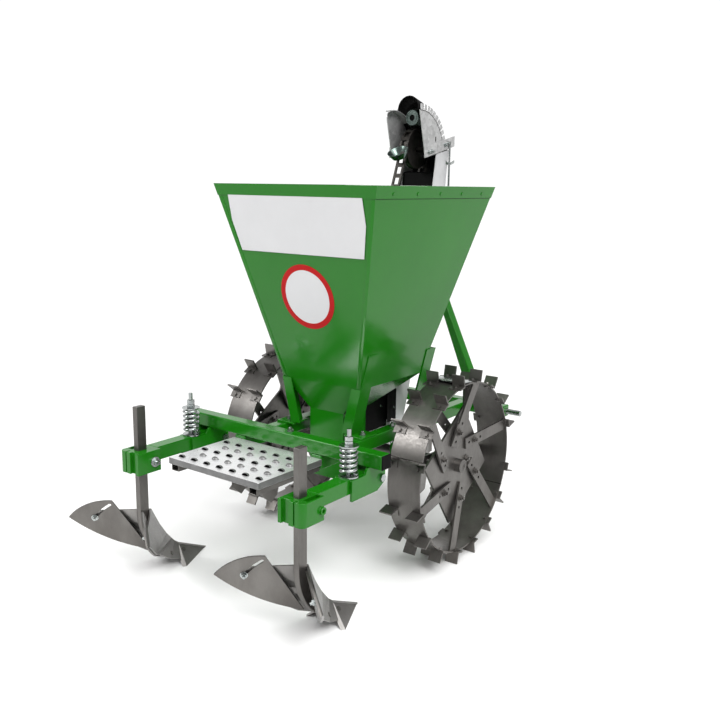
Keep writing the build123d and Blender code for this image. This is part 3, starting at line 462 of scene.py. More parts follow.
# Each finish: dark and light tone, cloud size, metal, smooth and rough, grain size, relief
FINISH = {
    "green_paint": finish("green_paint", (0.005, 0.124, 0.002), (0.008, 0.144, 0.003), 3.0, 0.0,
                          (0.14, 0.23), 420.0, 0.03, dust=0.03, coat=0.10, shine=0.3),
    # Darker green, used only for the painted shadow under the hopper lip
    "painted_shade_green": finish("painted_shade_green", (0.002, 0.038, 0.001), (0.003, 0.048, 0.002), 3.0, 0.0,
                         (0.3, 0.4), 420.0, 0.03, shine=0.1),
    "bare_steel": finish("bare_steel", (0.098, 0.092, 0.087), (0.185, 0.177, 0.168), 9.0, 0.9,
                         (0.30, 0.46), 240.0, 0.18, stretch=(1, 1, 0.35), dust=0.15),
    "zinc": finish("zinc", (0.30, 0.33, 0.33), (0.48, 0.50, 0.49), 40.0, 1.0,
                   (0.14, 0.28), 500.0, 0.08),
    "galvanised": spangle(finish("galvanised", (0.48, 0.48, 0.48), (0.58, 0.58, 0.58), 14.0, 0.55,
                                 (0.30, 0.44), 260.0, 0.06), 90.0, 0.25),
    "bright_zinc": finish("bright_zinc", (0.61, 0.61, 0.62), (0.71, 0.71, 0.72), 14.0, 0.45,
                          (0.30, 0.42), 260.0, 0.05),
    # Lighter zinc for the step's top, painted as lit
    "step_zinc_lit_top": finish("step_zinc_lit_top", (0.70, 0.70, 0.71), (0.80, 0.80, 0.81), 14.0, 0.72,
                        (0.26, 0.38), 260.0, 0.05),
    # Lighter steel for scoured boards and shares, partly a painted reflection of the key light
    "scoured_steel_and_sheen": finish("scoured_steel_and_sheen", (0.17, 0.165, 0.16), (0.31, 0.30, 0.29), 9.0, 0.9,
                            (0.30, 0.44), 240.0, 0.16, stretch=(1, 1, 0.35), dust=0.1),
    "black_plastic": finish("black_plastic", (0.002, 0.002, 0.002), (0.005, 0.005, 0.005), 20.0, 0.0,
                            (0.45, 0.60), 700.0, 0.15, shine=0.05),
    "dark_chain": finish("dark_chain", (0.012, 0.011, 0.010), (0.040, 0.036, 0.032), 60.0, 0.7,
                         (0.34, 0.55), 400.0, 0.2),
    "sign_white": finish("sign_white", (0.53, 0.53, 0.54), (0.57, 0.57, 0.58), 5.0, 0.0,
                         (0.38, 0.48), 500.0, 0.03, shine=0.2),
    "sign_red": finish("sign_red", (0.34, 0.002, 0.003), (0.39, 0.003, 0.004), 5.0, 0.0,
                       (0.35, 0.45), 500.0, 0.03, shine=0.15),
    # Cup zinc, tinted teal as a painted reflection of the green hopper around it
    "cup_zinc_and_green_reflection": finish("cup_zinc_and_green_reflection", (0.08, 0.11, 0.10), (0.20, 0.25, 0.23), 60.0, 0.95,
                       (0.18, 0.30), 500.0, 0.06),
    "cut_zinc": finish("cut_zinc", (0.14, 0.14, 0.14), (0.22, 0.22, 0.22), 24.0, 0.7,
                       (0.34, 0.46), 260.0, 0.06),
}

# Scoured boards and shares are lighter, partly a painted reflection of the key light; the smooth duct is brighter
# zinc, and the step's top is painted brighter as lit
BRIGHTER = {"mouldboards": "scoured_steel_and_sheen", "shares": "scoured_steel_and_sheen", "duct_sides": "bright_zinc",
            "duct_front": "bright_zinc", "head_front": "bright_zinc", "step_plate": "step_zinc_lit_top"}
for part in frame["record"]["subparts"]:
    node = nodes[part["node"]]
    node.data.materials.clear()
    node.data.materials.append(FINISH[BRIGHTER.get(part["node"], part["material_slot"])])

# The step's edges are duller cut zinc, also painted shade beside the top painted as lit, and the cover's outer
# strip is bare sheet
nodes["step_plate"].data.materials.append(FINISH["cut_zinc"])
for face in nodes["step_plate"].data.polygons:
    face.material_index = int(abs(face.normal.z) < 0.5)
cover = nodes["head_cover"].data
cover.materials.append(FINISH["galvanised"])
for face in cover.polygons:
    face.material_index = int(all(cover.vertices[i].co.x < COVER_STRIP_X for i in face.vertices))


# Fasteners: each is modelled once, upright at the origin, and set out in copies
def hex_bolt(r, height, stub=0.0):
    flat = WASHER_H * height
    top = flat + height
    deselect()
    bpy.ops.mesh.primitive_cylinder_add(
        vertices=20, radius=WASHER_R * r, depth=flat, location=(0, 0, flat / 2))
    shape("EDGE")
    pick(edge_at(2, flat))
    bpy.ops.mesh.bevel(offset=0.08 * height, segments=1)
    washer = shaped()
    deselect()
    bpy.ops.mesh.primitive_cylinder_add(
        vertices=6, radius=r, depth=height, location=(0, 0, flat + height / 2))
    shape("EDGE")
    pick(edge_at(2, top))
    bpy.ops.mesh.bevel(offset=0.12 * r, segments=2)
    head = shaped()
    made = [washer, head]
    if stub:
        deselect()
        bpy.ops.mesh.primitive_cylinder_add(
            vertices=12, radius=THREAD_R * r, depth=stub, location=(0, 0, top + stub / 2))
        shape("EDGE")
        pick(edge_at(2, top + stub))
        bpy.ops.mesh.bevel(offset=0.1 * r, segments=1)
        made.append(shaped())
    for obj in made:
        settle(obj)
    return joined(made)


def round_head(r):
    deselect()
    bpy.ops.mesh.primitive_cylinder_add(vertices=18, radius=r, depth=0.3 * r, location=(0, 0, 0.15 * r))
    shape("EDGE")
    pick(edge_at(2, 0.3 * r))
    bpy.ops.mesh.bevel(offset=0.2 * r, segments=2)
    return settle(shaped())


# Hopper: rear-wall signs, folded corner seams, the spots along the lip and a dark strip of painted shadow under
# the lip
WALL_DOWN = Vector((0, FOLD_Y - RIM_Y, FOLD_Z - RIM_Z))
WALL_H = WALL_DOWN.length
WALL_DOWN.normalize()
WALL_OUT = WALL_DOWN.cross(Vector((1, 0, 0))).normalized()
if WALL_OUT.y > 0:
    WALL_OUT = -WALL_OUT


def on_wall(down, proud=0.0):
    axes = Matrix((Vector((1, 0, 0)), -WALL_DOWN, WALL_OUT)).transposed().to_4x4()
    return Matrix.Translation(Vector((0, RIM_Y, RIM_Z)) + WALL_DOWN * down + WALL_OUT * proud) @ axes


def blank_sign():
    deselect()
    bpy.ops.mesh.primitive_plane_add(size=1)
    shape("EDGE")
    bpy.ops.mesh.select_all(action="SELECT")
    bpy.ops.transform.resize(value=(2 * SIGN_TOP_X, SIGN_LOW - SIGN_TOP, 1))
    bpy.ops.mesh.subdivide(number_cuts=1)
    half = (SIGN_LOW - SIGN_TOP) / 2
    bpy.ops.mesh.select_mode(type="VERT")
    for side in (1, -1):
        pick(lambda v: side * v.co.x > 0.9 * SIGN_TOP_X and v.co.y < -0.9 * half)
        bpy.ops.transform.translate(value=(side * (SIGN_LOW_X - SIGN_TOP_X), 0, 0))
        pick(lambda v: side * v.co.x > 0.9 * SIGN_TOP_X and abs(v.co.y) < 0.5 * half)
        to_middle = (side * (SIGN_MID_X - SIGN_TOP_X), SIGN_TOP + half - SIGN_MID, 0)
        bpy.ops.transform.translate(value=to_middle)
    bpy.ops.mesh.select_mode(type="FACE")
    bpy.ops.mesh.select_all(action="SELECT")
    bpy.ops.mesh.dissolve_limited(angle_limit=0.001)
    bpy.ops.mesh.select_all(action="SELECT")
    bpy.ops.mesh.extrude_region_move(TRANSFORM_OT_translate={"value": (0, 0, SIGN_T)})
    bpy.ops.mesh.select_all(action="SELECT")
    bpy.ops.mesh.normals_make_consistent(inside=False)
    obj = shaped()
    obj.data.transform(on_wall(SIGN_TOP + half, LIP_T + SIGN_LIFT))
    return fit(obj, "blank_sign", "sign_white")


def ring_sign():
    deselect()
    bpy.ops.mesh.primitive_circle_add(vertices=72, radius=DISC_R, fill_type="NGON")
    shape("FACE")
    bpy.ops.mesh.select_all(action="SELECT")
    bpy.ops.mesh.inset(thickness=DISC_EDGE)
    bpy.ops.mesh.inset(thickness=DISC_RING)
    bpy.ops.mesh.select_all(action="SELECT")
    bpy.ops.mesh.extrude_region_move(TRANSFORM_OT_translate={"value": (0, 0, SIGN_T)})
    bpy.ops.mesh.select_all(action="SELECT")
    bpy.ops.mesh.normals_make_consistent(inside=False)
    obj = shaped()
    obj.data.materials.append(FINISH["sign_white"])
    obj.data.materials.append(FINISH["sign_red"])
    for face in obj.data.polygons:
        out = face.center.to_2d().length
        face.material_index = int(out > DISC_R - DISC_RING - DISC_EDGE / 2)
    obj.data.transform(on_wall(DISC_DOWN, SIGN_LIFT))
    return fit(obj, "ring_sign", "sign_white")


def corner_seams():
    start, end = LIP_H + SEAM_END, WALL_H - SEAM_END
    seams = []
    for side in (1, -1):
        deselect()
        bpy.ops.mesh.primitive_plane_add(size=1)
        shape("VERT")
        bpy.ops.mesh.select_all(action="SELECT")
        bpy.ops.transform.resize(value=(SEAM_W, end - start, 1))
        for end_of, down in ((1, start), (-1, end)):
            edge_x = RIM_X + (FOLD_X - RIM_X) * down / WALL_H - SEAM_W / 2
            pick(lambda v: v.co.y * end_of > 0)
            bpy.ops.transform.translate(value=(side * edge_x, 0, 0))
        bpy.ops.mesh.select_mode(type="FACE")
        bpy.ops.mesh.select_all(action="SELECT")
        bpy.ops.transform.translate(value=(0, -(start + end) / 2, 0))
        bpy.ops.mesh.extrude_region_move(TRANSFORM_OT_translate={"value": (0, 0, SEAM_T)})
        bpy.ops.mesh.select_all(action="SELECT")
        bpy.ops.mesh.normals_make_consistent(inside=False)
        bpy.ops.mesh.select_mode(type="EDGE")
        pick(edge_at(2, SEAM_T))
        bpy.ops.mesh.bevel(offset=0.4 * SEAM_T, segments=2)
        obj = shaped()
        obj.data.transform(on_wall(0.0))
        seams.append(obj)
    return fit(joined(seams), "corner_seams", "green_paint")


def lip_spots():
    lean = (RIM_X - FOLD_X) / (RIM_Z - FOLD_Z)
    x = RIM_X + LIP_T - lean * SPOT_DROP
    places = []
    for y in SPOT_Y:
        for side in (1, -1):
            places.append(at((side * x, y, RIM_Z - SPOT_DROP), (side, 0, -lean)))
    return fit(set_out(round_head(SPOT_R), places), "lip_spots", "green_paint")


# A dark green strip below the lip's fold paints the shadow under the lip
def lip_shade_lines():
    share = (LIP_H + SHADE_LINE_H / 2) / (RIM_Z - FOLD_Z)
    x = RIM_X + (FOLD_X - RIM_X) * share
    z = RIM_Z + (FOLD_Z - RIM_Z) * share
    rear = RIM_Y + (FOLD_Y - RIM_Y) * share
    front = RIM_FRONT + (FOLD_FRONT - RIM_FRONT) * share
    lean = math.atan2(RIM_X - FOLD_X, RIM_Z - FOLD_Z)
    deselect()
    bpy.ops.mesh.primitive_cube_add(size=1)
    shape("EDGE")
    bpy.ops.mesh.select_all(action="SELECT")
    bpy.ops.transform.resize(value=(2 * SHADE_LINE_T, front - rear, SHADE_LINE_H))
    pick(lambda e: abs(e.verts[0].co.y - e.verts[1].co.y) > 0.1)
    bpy.ops.mesh.bevel(offset=0.3 * SHADE_LINE_T, segments=1)
    shade_line = settle(shaped())
    place = Matrix.Translation((x, (rear + front) / 2, z)) @ Matrix.Rotation(lean, 4, "Y")
    shade_line.data.materials.append(FINISH["painted_shade_green"])
    return fit(set_out(shade_line, mirrored([place])), "lip_shade_lines", "green_paint")


blank_sign()
ring_sign()
corner_seams()
lip_spots()
lip_shade_lines()


# Ridgers: wound springs, wing nuts and the bolts through boards and shares
def ridger_springs():
    low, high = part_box("spring_coils")
    rise = (high.z - low.z - 2 * WIRE_R) / SPRING_TURNS
    springs = []
    for x in (-ROW, ROW):
        deselect()
        bpy.ops.mesh.primitive_circle_add(
            vertices=12, radius=WIRE_R, location=(SPRING_R, 0, 0), rotation=(math.pi / 2, 0, 0))
        wire = settle(bpy.context.object)
        coil = wire.modifiers.new("coil", "SCREW")
        coil.axis = "Z"
        coil.angle = 2 * math.pi
        coil.steps = 28
        coil.render_steps = 28
        coil.iterations = int(SPRING_TURNS)
        coil.screw_offset = rise
        bpy.ops.object.modifier_apply(modifier="coil")
        shape("EDGE")
        bpy.ops.mesh.select_all(action="SELECT")
        bpy.ops.mesh.remove_doubles(threshold=1e-6)
        bpy.ops.mesh.select_all(action="DESELECT")
        bpy.ops.mesh.select_non_manifold()
        bpy.ops.mesh.edge_face_add()
        bpy.ops.mesh.select_all(action="SELECT")
        bpy.ops.mesh.fill_holes(sides=0)
        bpy.ops.mesh.normals_make_consistent(inside=False)
        wire = shaped()
        wire.data.transform(Matrix.Translation((x, SPRING_Y, low.z + WIRE_R)))
        springs.append(wire)
    obj = fit(joined(springs), "ridger_springs", "zinc", smooth=60)
    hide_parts("spring_coils")


def wing_spots(along_m, across_m):
    along = (WING_TIP - WING_PIVOT).normalized()
    out = (WING_TOP - WING_PIVOT).cross(along).normalized()
    across = along.cross(out)
    point = WING_PIVOT + along * along_m + across * across_m - out * WING_T
    spots = []
    for row in (-ROW, ROW):
        for side in (1, -1):
            spot = Vector((side * point.x + row, point.y, point.z))
            spots.append((spot, Vector((-side * out.x, -out.y, -out.z))))
    return spots


def ridger_bolts():
    low_end = math.radians(SLOT_LOW)
    spots = wing_spots(SLOT_R * math.cos(low_end), SLOT_R * math.sin(low_end))
    fit(set_out(hex_bolt(*WING_NUT), [at(p, n) for p, n in spots]), "wing_nuts", "zinc")
    heads = []
    for row in (-ROW, ROW):
        for side in (1, -1):
            for (x, y, z), (out_x, out_y, out_z) in PLOUGH_BOLTS:
                heads.append(at((row + side * x, y, z), (side * out_x, out_y, out_z)))
    fit(set_out(round_head(PLOUGH_HEAD_R), heads), "plough_bolts", "bare_steel")


def clamp_bolts():
    places = [at(p, (-math.copysign(1, p.x), 0, 0)) for p in both_sides([CLAMP_BOLT_AT])]
    fit(set_out(hex_bolt(*CLAMP_BOLT), places), "clamp_bolts", "zinc")


ridger_springs()
ridger_bolts()
clamp_bolts()


# Frame: bolts and, under the rails, their lower ends
def frame_bolts():
    feet = both_sides(FEET_AT)
    rails = both_sides(BEARINGS_AT)
    places = [at(p, (0, 0, 1), 15) for p in feet + rails + [Vector(BAR_BOLT_AT)]]
    under = [at(p - Vector((0, 0, RAIL_H)), (0, 0, -1)) for p in rails]
    fit(set_out(hex_bolt(*FRAME_BOLT), places + under), "frame_bolts", "zinc")


frame_bolts()


# Step: raised half-moon teeth whose insides and mouths are painted black as shade, every second row turned round
def step_teeth():
    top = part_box("step_plate")[1].z
    deselect()
    bpy.ops.mesh.primitive_uv_sphere_add(segments=20, ring_count=10, radius=TOOTH_R)
    shape("FACE")
    bpy.ops.mesh.select_all(action="SELECT")
    bpy.ops.transform.resize(value=(1, 1, TOOTH_H / TOOTH_R))
    for normal in ((0, 0, -1), (0, -1, 0)):
        bpy.ops.mesh.select_all(action="SELECT")
        bpy.ops.mesh.bisect(plane_co=(0, 0, 0), plane_no=normal, clear_outer=True)
    tooth = settle(shaped())
    # The dome's inner shell takes black, painted shade inside the tooth
    wall = tooth.modifiers.new("wall", "SOLIDIFY")
    wall.thickness = TOOTH_T
    wall.offset = -1
    wall.material_offset = 1
    tooth.data.materials.append(FINISH["cut_zinc"])
    tooth.data.materials.append(FINISH["black_plastic"])
    bpy.ops.object.modifier_apply(modifier="wall")
    # A black half disc in the mouth paints the shade inside the tooth
    deselect()
    bpy.ops.mesh.primitive_circle_add(
        vertices=20, radius=MOUTH_SHADE_R, fill_type="NGON", location=(0, 0, MOUTH_SHADE_T))
    shape("FACE")
    bpy.ops.mesh.select_all(action="SELECT")
    bpy.ops.mesh.bisect(plane_co=(0, -MOUTH_SHADE_REACH, 0), plane_no=(0, -1, 0), clear_outer=True)
    bpy.ops.mesh.select_all(action="SELECT")
    bpy.ops.mesh.extrude_region_move(TRANSFORM_OT_translate={"value": (0, 0, MOUTH_SHADE_T)})
    bpy.ops.mesh.select_all(action="SELECT")
    bpy.ops.mesh.normals_make_consistent(inside=False)
    mouth_shade = settle(shaped())
    mouth_shade.data.materials.append(FINISH["black_plastic"])
    master = joined([tooth, mouth_shade])
    places = []
    for y, x0, count, turn in TOOTH_ROWS:
        for i in range(count):
            spin = Matrix.Rotation(math.radians(turn), 4, "Z")
            places.append(Matrix.Translation((x0 + TOOTH_PITCH * i, y, top)) @ spin)
    return fit(set_out(master, places), "step_teeth", "galvanised", smooth=50)


step_teeth()


# Wheels: bolts on spokes, lugs and hubs, the joints and laps of the half bands and the axle ends
def on_wheel(turn):
    return Matrix.Translation(AXLE) @ Matrix.Rotation(math.radians(turn), 4, "X")


def spoke_bolts():
    length = WHEEL_R - BAND_T - SPOKE_START
    tilt_out = math.atan2(BAND_OUT - SPOKE_INSET - PLATE_FACE, length)
    tilt_in = math.atan2(PLATE_FACE - PLATE_T - BAND_IN - SPOKE_INSET, length)
    places = []
    for side, face, tilt in ((1, PLATE_FACE, tilt_out), (-1, PLATE_FACE - PLATE_T, tilt_in)):
        seat = Matrix.Translation((side * SPOKE_T, -side * SPOKE_OFF, SPOKE_BOLT_R - SPOKE_START))
        for i in range(SPOKES):
            bar = Matrix.Translation((face, 0, SPOKE_START)) @ Matrix.Rotation(side * tilt, 4, "Y")
            stand = Matrix.Rotation(side * math.pi / 2, 4, "Y")
            places.append(on_wheel(SPOKE_TURN - 90 + 360 / SPOKES * i) @ bar @ seat @ stand)
    fit(set_out(hex_bolt(*SPOKE_BOLT), mirrored(places)), "spoke_bolts", "bare_steel", "wheelset")


def lug_bolts():
    places = []
    for half in (0, 180):
        for i in range(LUGS):
            turn = on_wheel(half + LUG_STEP * (i - (LUGS - 1) / 2))
            for x in (BAND_IN - LUG_OVER + LUG_W / 2, BAND_OUT + LUG_OVER - LUG_W / 2):
                outer = at((x, LUG_BOLT_AT, -WHEEL_R - LUG_T / 2), (0, 0, -1))
                inner = at((x, LUG_BOLT_AT, -WHEEL_R + BAND_T), (0, 0, 1))
                places += [turn @ outer, turn @ inner]
    fit(set_out(hex_bolt(*LUG_BOLT), mirrored(places)), "lug_bolts", "bare_steel", "wheelset")


def band_joints():
    deselect()
    bpy.ops.mesh.primitive_cube_add(size=1)
    shape("EDGE")
    bpy.ops.mesh.select_all(action="SELECT")
    bpy.ops.transform.resize(value=(BAND_OUT - BAND_IN + JOINT_OVER, JOINT_W, BAND_T + JOINT_PROUD))
    pick(lambda e: abs(e.verts[0].co.x - e.verts[1].co.x) > 0.01)
    bpy.ops.mesh.bevel(offset=FINE_ROUND, segments=1)
    joint = settle(shaped())
    places = []
    for turn in JOINT_TURNS:
        centre = Matrix.Translation(((BAND_IN + BAND_OUT) / 2, 0, WHEEL_R - BAND_T / 2))
        places.append(on_wheel(turn - 90) @ centre)
    fit(set_out(joint, mirrored(places)), "band_joints", "dark_chain", "wheelset")


def band_laps():
    lap = arc_strip(WHEEL_R + LAP_T + LAP_GAP, LAP_T, LAP_FROM, LAP_TO, BAND_OUT - BAND_IN)
    lap.data.transform(Matrix.Translation((BAND_IN, AXLE.y, AXLE.z)) @ TO_SIDE)
    root = math.radians(LAP_FROM)
    hinge = AXLE + Vector((0, math.cos(root), math.sin(root))) * WHEEL_R
    lift = Matrix.Rotation(math.radians(-LAP_LIFT), 4, "X")
    lap.data.transform(Matrix.Translation(hinge) @ lift @ Matrix.Translation(-hinge))
    fit(with_mirror(lap), "band_laps", "zinc", "wheelset")


def axle_ends():
    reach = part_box("axle")[1].x
    deselect()
    bpy.ops.mesh.primitive_cylinder_add(
        vertices=28, radius=AXLE_END_R, depth=AXLE_END_H, location=(0, 0, AXLE_END_H / 2))
    shape("FACE")
    pick(facing(2))
    for ring in AXLE_END_RINGS:
        bpy.ops.mesh.inset(thickness=ring)
        bpy.ops.mesh.extrude_region_move(TRANSFORM_OT_translate={"value": (0, 0, -AXLE_END_SINK)})
    bpy.ops.mesh.select_mode(type="EDGE")
    pick(edge_at(2, AXLE_END_H))
    bpy.ops.mesh.bevel(offset=FINE_ROUND, segments=1)
    ends = set_out(settle(shaped()), mirrored([at((reach, AXLE.y, AXLE.z), (1, 0, 0))]))
    fit(ends, "axle_ends", "bare_steel", "wheelset")
    set_bolt = at((PLATE_FACE, AXLE.y + HUB_BOLT_AHEAD, AXLE.z + HUB_BOLT_UP), (1, 0, 0), 20)
    fit(set_out(hex_bolt(*HUB_BOLT), mirrored([set_bolt])), "hub_bolts", "bare_steel", "wheelset")


spoke_bolts()
lug_bolts()
band_joints()
band_laps()
axle_ends()


# Elevator: pressed cups with a painted-shade disc behind the top cup's hole, head bolts, plate marks painted as a
# bend's shade line and a slot's shade, dark plates beside the chain case, rod nuts and dark sheets inside the duct
def pressed_cup():
    deselect()
    bpy.ops.mesh.primitive_cone_add(vertices=40, radius1=CUP_LOW_R, radius2=CUP_R, depth=CUP_H)
    shape("FACE")
    pick(facing(2))
    bpy.ops.mesh.inset(thickness=CUP_T)
    bpy.ops.mesh.extrude_region_move(TRANSFORM_OT_translate={"value": (0, 0, CUP_T - CUP_H)})
    scale = (CUP_LOW_R - CUP_T) / (CUP_R - CUP_T)
    bpy.ops.transform.resize(value=(scale, scale, 1))
    bpy.ops.mesh.inset(thickness=CUP_LOW_R - CUP_T - CUP_HOLE)
    bpy.ops.mesh.delete(type="FACE")
    pick(facing(2, -1))
    for sink in (CUP_SINK, -CUP_SINK):
        bpy.ops.mesh.inset(thickness=CUP_STEP)
        bpy.ops.mesh.extrude_region_move(TRANSFORM_OT_translate={"value": (0, 0, sink)})
    bpy.ops.mesh.inset(thickness=CUP_LOW_R - 2 * CUP_STEP - CUP_HOLE)
    bpy.ops.mesh.delete(type="FACE")
    bpy.ops.mesh.select_mode(type="EDGE")
    pick(lambda e: e.is_boundary)
    bpy.ops.mesh.bridge_edge_loops()
    pick(edge_at(2, CUP_H / 2))
    bpy.ops.mesh.bevel(offset=CUP_EDGE, segments=2)
    bpy.ops.mesh.select_all(action="SELECT")
    bpy.ops.mesh.normals_make_consistent(inside=False)
    return settle(shaped())


def trimmed(obj, point, normal):
    settle(obj)
    shape("FACE")
    bpy.ops.mesh.select_all(action="SELECT")
    bpy.ops.mesh.bisect(plane_co=point, plane_no=normal, clear_outer=True, use_fill=True)
    return shaped()


def chain_cups():
    cups = []
    lean = Vector((0, 1, -STRAND_SLOPE)).normalized()
    for i in range(CUPS):
        drop = CUP_DROP + CUP_PITCH * i
        seat = STRAND_TOP - Vector((0, STRAND_SLOPE * drop, drop))
        cup = pressed_cup()
        tilt = Matrix.Rotation(math.radians(CUP_TILT), 4, "X")
        cup.data.transform(Matrix.Translation(seat - Vector((0, CUP_REACH, 0))) @ tilt)
        cups.append(trimmed(cup, seat, lean))
    top = pressed_cup()
    crown = STRAND_TOP.z + CHAIN_OVER
    centre = Vector((0, SPROCKET_Y - CUP_H / 2, crown + CUP_R - CUP_BITE))
    top.data.transform(Matrix.Translation(centre) @ Matrix.Rotation(math.radians(-90), 4, "X"))
    cups.append(trimmed(top, (0, 0, crown), (0, 0, -1)))
    obj = joined(cups)
    # The cups take zinc tinted with a painted reflection of the green hopper
    obj.data.materials.append(FINISH["cup_zinc_and_green_reflection"])
    fit(obj, "pressed_cups", "zinc", smooth=40)
    # A black disc inside the top cup paints its hole dark as shade
    deselect()
    bpy.ops.mesh.primitive_cylinder_add(vertices=32, radius=CUP_LOW_R - CUP_T, depth=CUP_T)
    shape("EDGE")
    pick(edge_at(2, CUP_T / 2))
    bpy.ops.mesh.bevel(offset=CUP_T / 3, segments=2)
    back = shaped()
    inside = centre + Vector((0, CUP_T - CUP_H / 2 + CUP_T, 0))
    back.data.transform(Matrix.Translation(inside) @ Matrix.Rotation(math.radians(-90), 4, "X"))
    fit(back, "cup_hole_shade", "black_plastic")
    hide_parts("chain_cups")


def head_bolts():
    places = [at(p, (math.copysign(1, p.x), 0, 0), 10) for p in both_sides(HEAD_BOLTS_AT)]
    fit(set_out(hex_bolt(*HEAD_BOLT), places), "head_bolts", "zinc")


# Dark marks on the head plates: an arc painted as the shade line of a bend and a slot painted dark as the hole's
# shade
def plate_shade_marks():
    line = arc_strip(BEND_R, BEND_W, BEND_FROM, BEND_TO, MARK_T)
    line.data.transform(Matrix.Translation((PLATE_X, HEAD_AT.y, HEAD_AT.z)) @ TO_SIDE)
    deselect()
    bpy.ops.mesh.primitive_circle_add(vertices=20, radius=PLATE_SLOT_R, fill_type="NGON")
    shape("VERT")
    pick(lambda v: v.co.y > 0)
    bpy.ops.transform.translate(value=(0, PLATE_SLOT_L, 0))
    bpy.ops.mesh.select_mode(type="FACE")
    bpy.ops.mesh.select_all(action="SELECT")
    bpy.ops.mesh.extrude_region_move(TRANSFORM_OT_translate={"value": (0, 0, MARK_T)})
    slot = settle(shaped())
    slot.data.transform(Matrix.Translation((PLATE_X, PLATE_SLOT_AT.y, PLATE_SLOT_AT.z)) @ TO_SIDE)
    return fit(with_mirror(joined([line, slot])), "plate_shade_marks", "dark_chain")


# Thin black plates on the duct's sides darken the strip beside the chain case; small bolts sit on the case and on
# the plates
def case_dark_plates():
    deselect()
    bpy.ops.mesh.primitive_cube_add(size=1)
    shape("EDGE")
    bpy.ops.mesh.select_all(action="SELECT")
    bpy.ops.transform.resize(value=(DARK_PLATE_T, DARK_PLATE_L, DARK_PLATE_H))
    pick(lambda e: abs(e.verts[0].co.x - e.verts[1].co.x) > 0.5 * DARK_PLATE_T)
    bpy.ops.mesh.bevel(offset=DARK_PLATE_ROUND, segments=3)
    dark_plate = settle(shaped())
    place = Matrix.Translation((PLATE_X + DARK_PLATE_T / 2, DARK_PLATE_AT.y, DARK_PLATE_AT.z))
    fit(set_out(dark_plate, mirrored([place])), "case_dark_plates", "black_plastic")
    case_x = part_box("chain_case")[1].x
    spots = both_sides([(case_x, CASE_BOLT_Y, CASE_BOLT_Z),
                        (PLATE_X + DARK_PLATE_T, DARK_PLATE_BOLT_Y, DARK_PLATE_BOLT_Z)])
    places = [at(p, (math.copysign(1, p.x), 0, 0)) for p in spots]
    fit(set_out(hex_bolt(*CASE_BOLT), places), "case_bolts", "zinc")


def rod_nuts():
    low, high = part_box("tension_rods")
    deselect()
    bpy.ops.mesh.primitive_cylinder_add(vertices=14, radius=ROD_NUT_R, depth=ROD_NUT_H)
    shape("FACE")
    pick(lambda f: abs(f.normal.x) > 0.9)
    bpy.ops.mesh.extrude_region_move(TRANSFORM_OT_translate={"value": (0, 0, 0)})
    bpy.ops.transform.resize(value=NUT_WING)
    bpy.ops.transform.translate(value=(0, 0, NUT_WING_UP))
    bpy.ops.mesh.select_mode(type="EDGE")
    bpy.ops.mesh.select_all(action="SELECT")
    bpy.ops.mesh.bevel(offset=NUT_ROUND, segments=1)
    nut = settle(shaped())
    spots = both_sides([(high.x - ROD_NUT_IN, (low.y + high.y) / 2 + ROD_NUT_AHEAD, ROD_NUT_Z)])
    return fit(set_out(nut, [at(p, (0, 0, 1), ROD_NUT_TURN) for p in spots]), "rod_nuts", "zinc")


# Black sheets inside the duct darken its inside
def duct_dark_sheets():
    deselect()
    bpy.ops.mesh.primitive_cube_add(size=1)
    shape("FACE")
    bpy.ops.mesh.select_all(action="SELECT")
    bpy.ops.transform.resize(value=(DARK_SHEET_W, FLAP_T, FLAP_H))
    bpy.ops.transform.translate(value=FLAP_AT)
    pick(facing(2))
    bpy.ops.transform.translate(value=(0, FLAP_LEAN, 0))
    bpy.ops.mesh.inset(thickness=FLAP_INSET)
    bpy.ops.mesh.extrude_region_move(TRANSFORM_OT_translate={"value": FLAP_TIP})
    flap = settle(shaped())
    deselect()
    bpy.ops.mesh.primitive_cube_add(size=1)
    shape("FACE")
    bpy.ops.mesh.select_all(action="SELECT")
    bpy.ops.transform.resize(value=(DARK_SHEET_W, FRONT_T, FRONT_H))
    bpy.ops.transform.translate(value=FRONT_AT)
    for sign, lean in ((1, FRONT_TOP_LEAN), (-1, FRONT_LOW_LEAN)):
        pick(facing(2, sign))
        bpy.ops.transform.translate(value=(0, lean, 0))
    bpy.ops.mesh.select_mode(type="EDGE")
    bpy.ops.mesh.select_all(action="SELECT")
    bpy.ops.mesh.bevel(offset=FINE_ROUND, segments=1)
    front = settle(shaped())
    return fit(joined([flap, front]), "duct_dark_sheets", "black_plastic")


chain_cups()
head_bolts()
plate_shade_marks()
case_dark_plates()
rod_nuts()
duct_dark_sheets()


# Edges of the frame tubes and plates are rounded a little, as folded and cut steel is
SOFT_EDGES = {
    0.0045: ("rear_bar", "rails", "front_bar", "ridger_arms", "mast_legs"),
    0.0020: ("shank_clamps", "shanks", "axle_bearings", "step_plate"),
    0.0012: ("arm_plates", "leg_feet", "hopper_legs", "mast_lugs", "furrow_opener", "step_tubes"),
}
for width, names in SOFT_EDGES.items():
    for name in names:
        merge = nodes[name].modifiers.new("merge", "WELD")
        merge.merge_threshold = 0.00002
        edge = nodes[name].modifiers.new("soft_edge", "BEVEL")
        edge.width = width
        edge.segments = 3
        edge.limit_method = "ANGLE"
        edge.angle_limit = math.radians(40)
        edge.harden_normals = True


# Studio: wide white floor, soft lights, white backdrop and the camera
def studio_floor():
    deselect()
    bpy.ops.mesh.primitive_plane_add(size=FLOOR_SIZE)
    shape("FACE")
    bpy.ops.mesh.select_all(action="SELECT")
    bpy.ops.mesh.subdivide(number_cuts=3)
    floor = shaped()
    floor.name = "studio_floor"
    floor.data.materials.append(finish("studio_white", (0.88, 0.88, 0.87), (0.9, 0.9, 0.9), 1.0, 0.0,
                                       (0.6, 0.7), 60.0, 0.02))


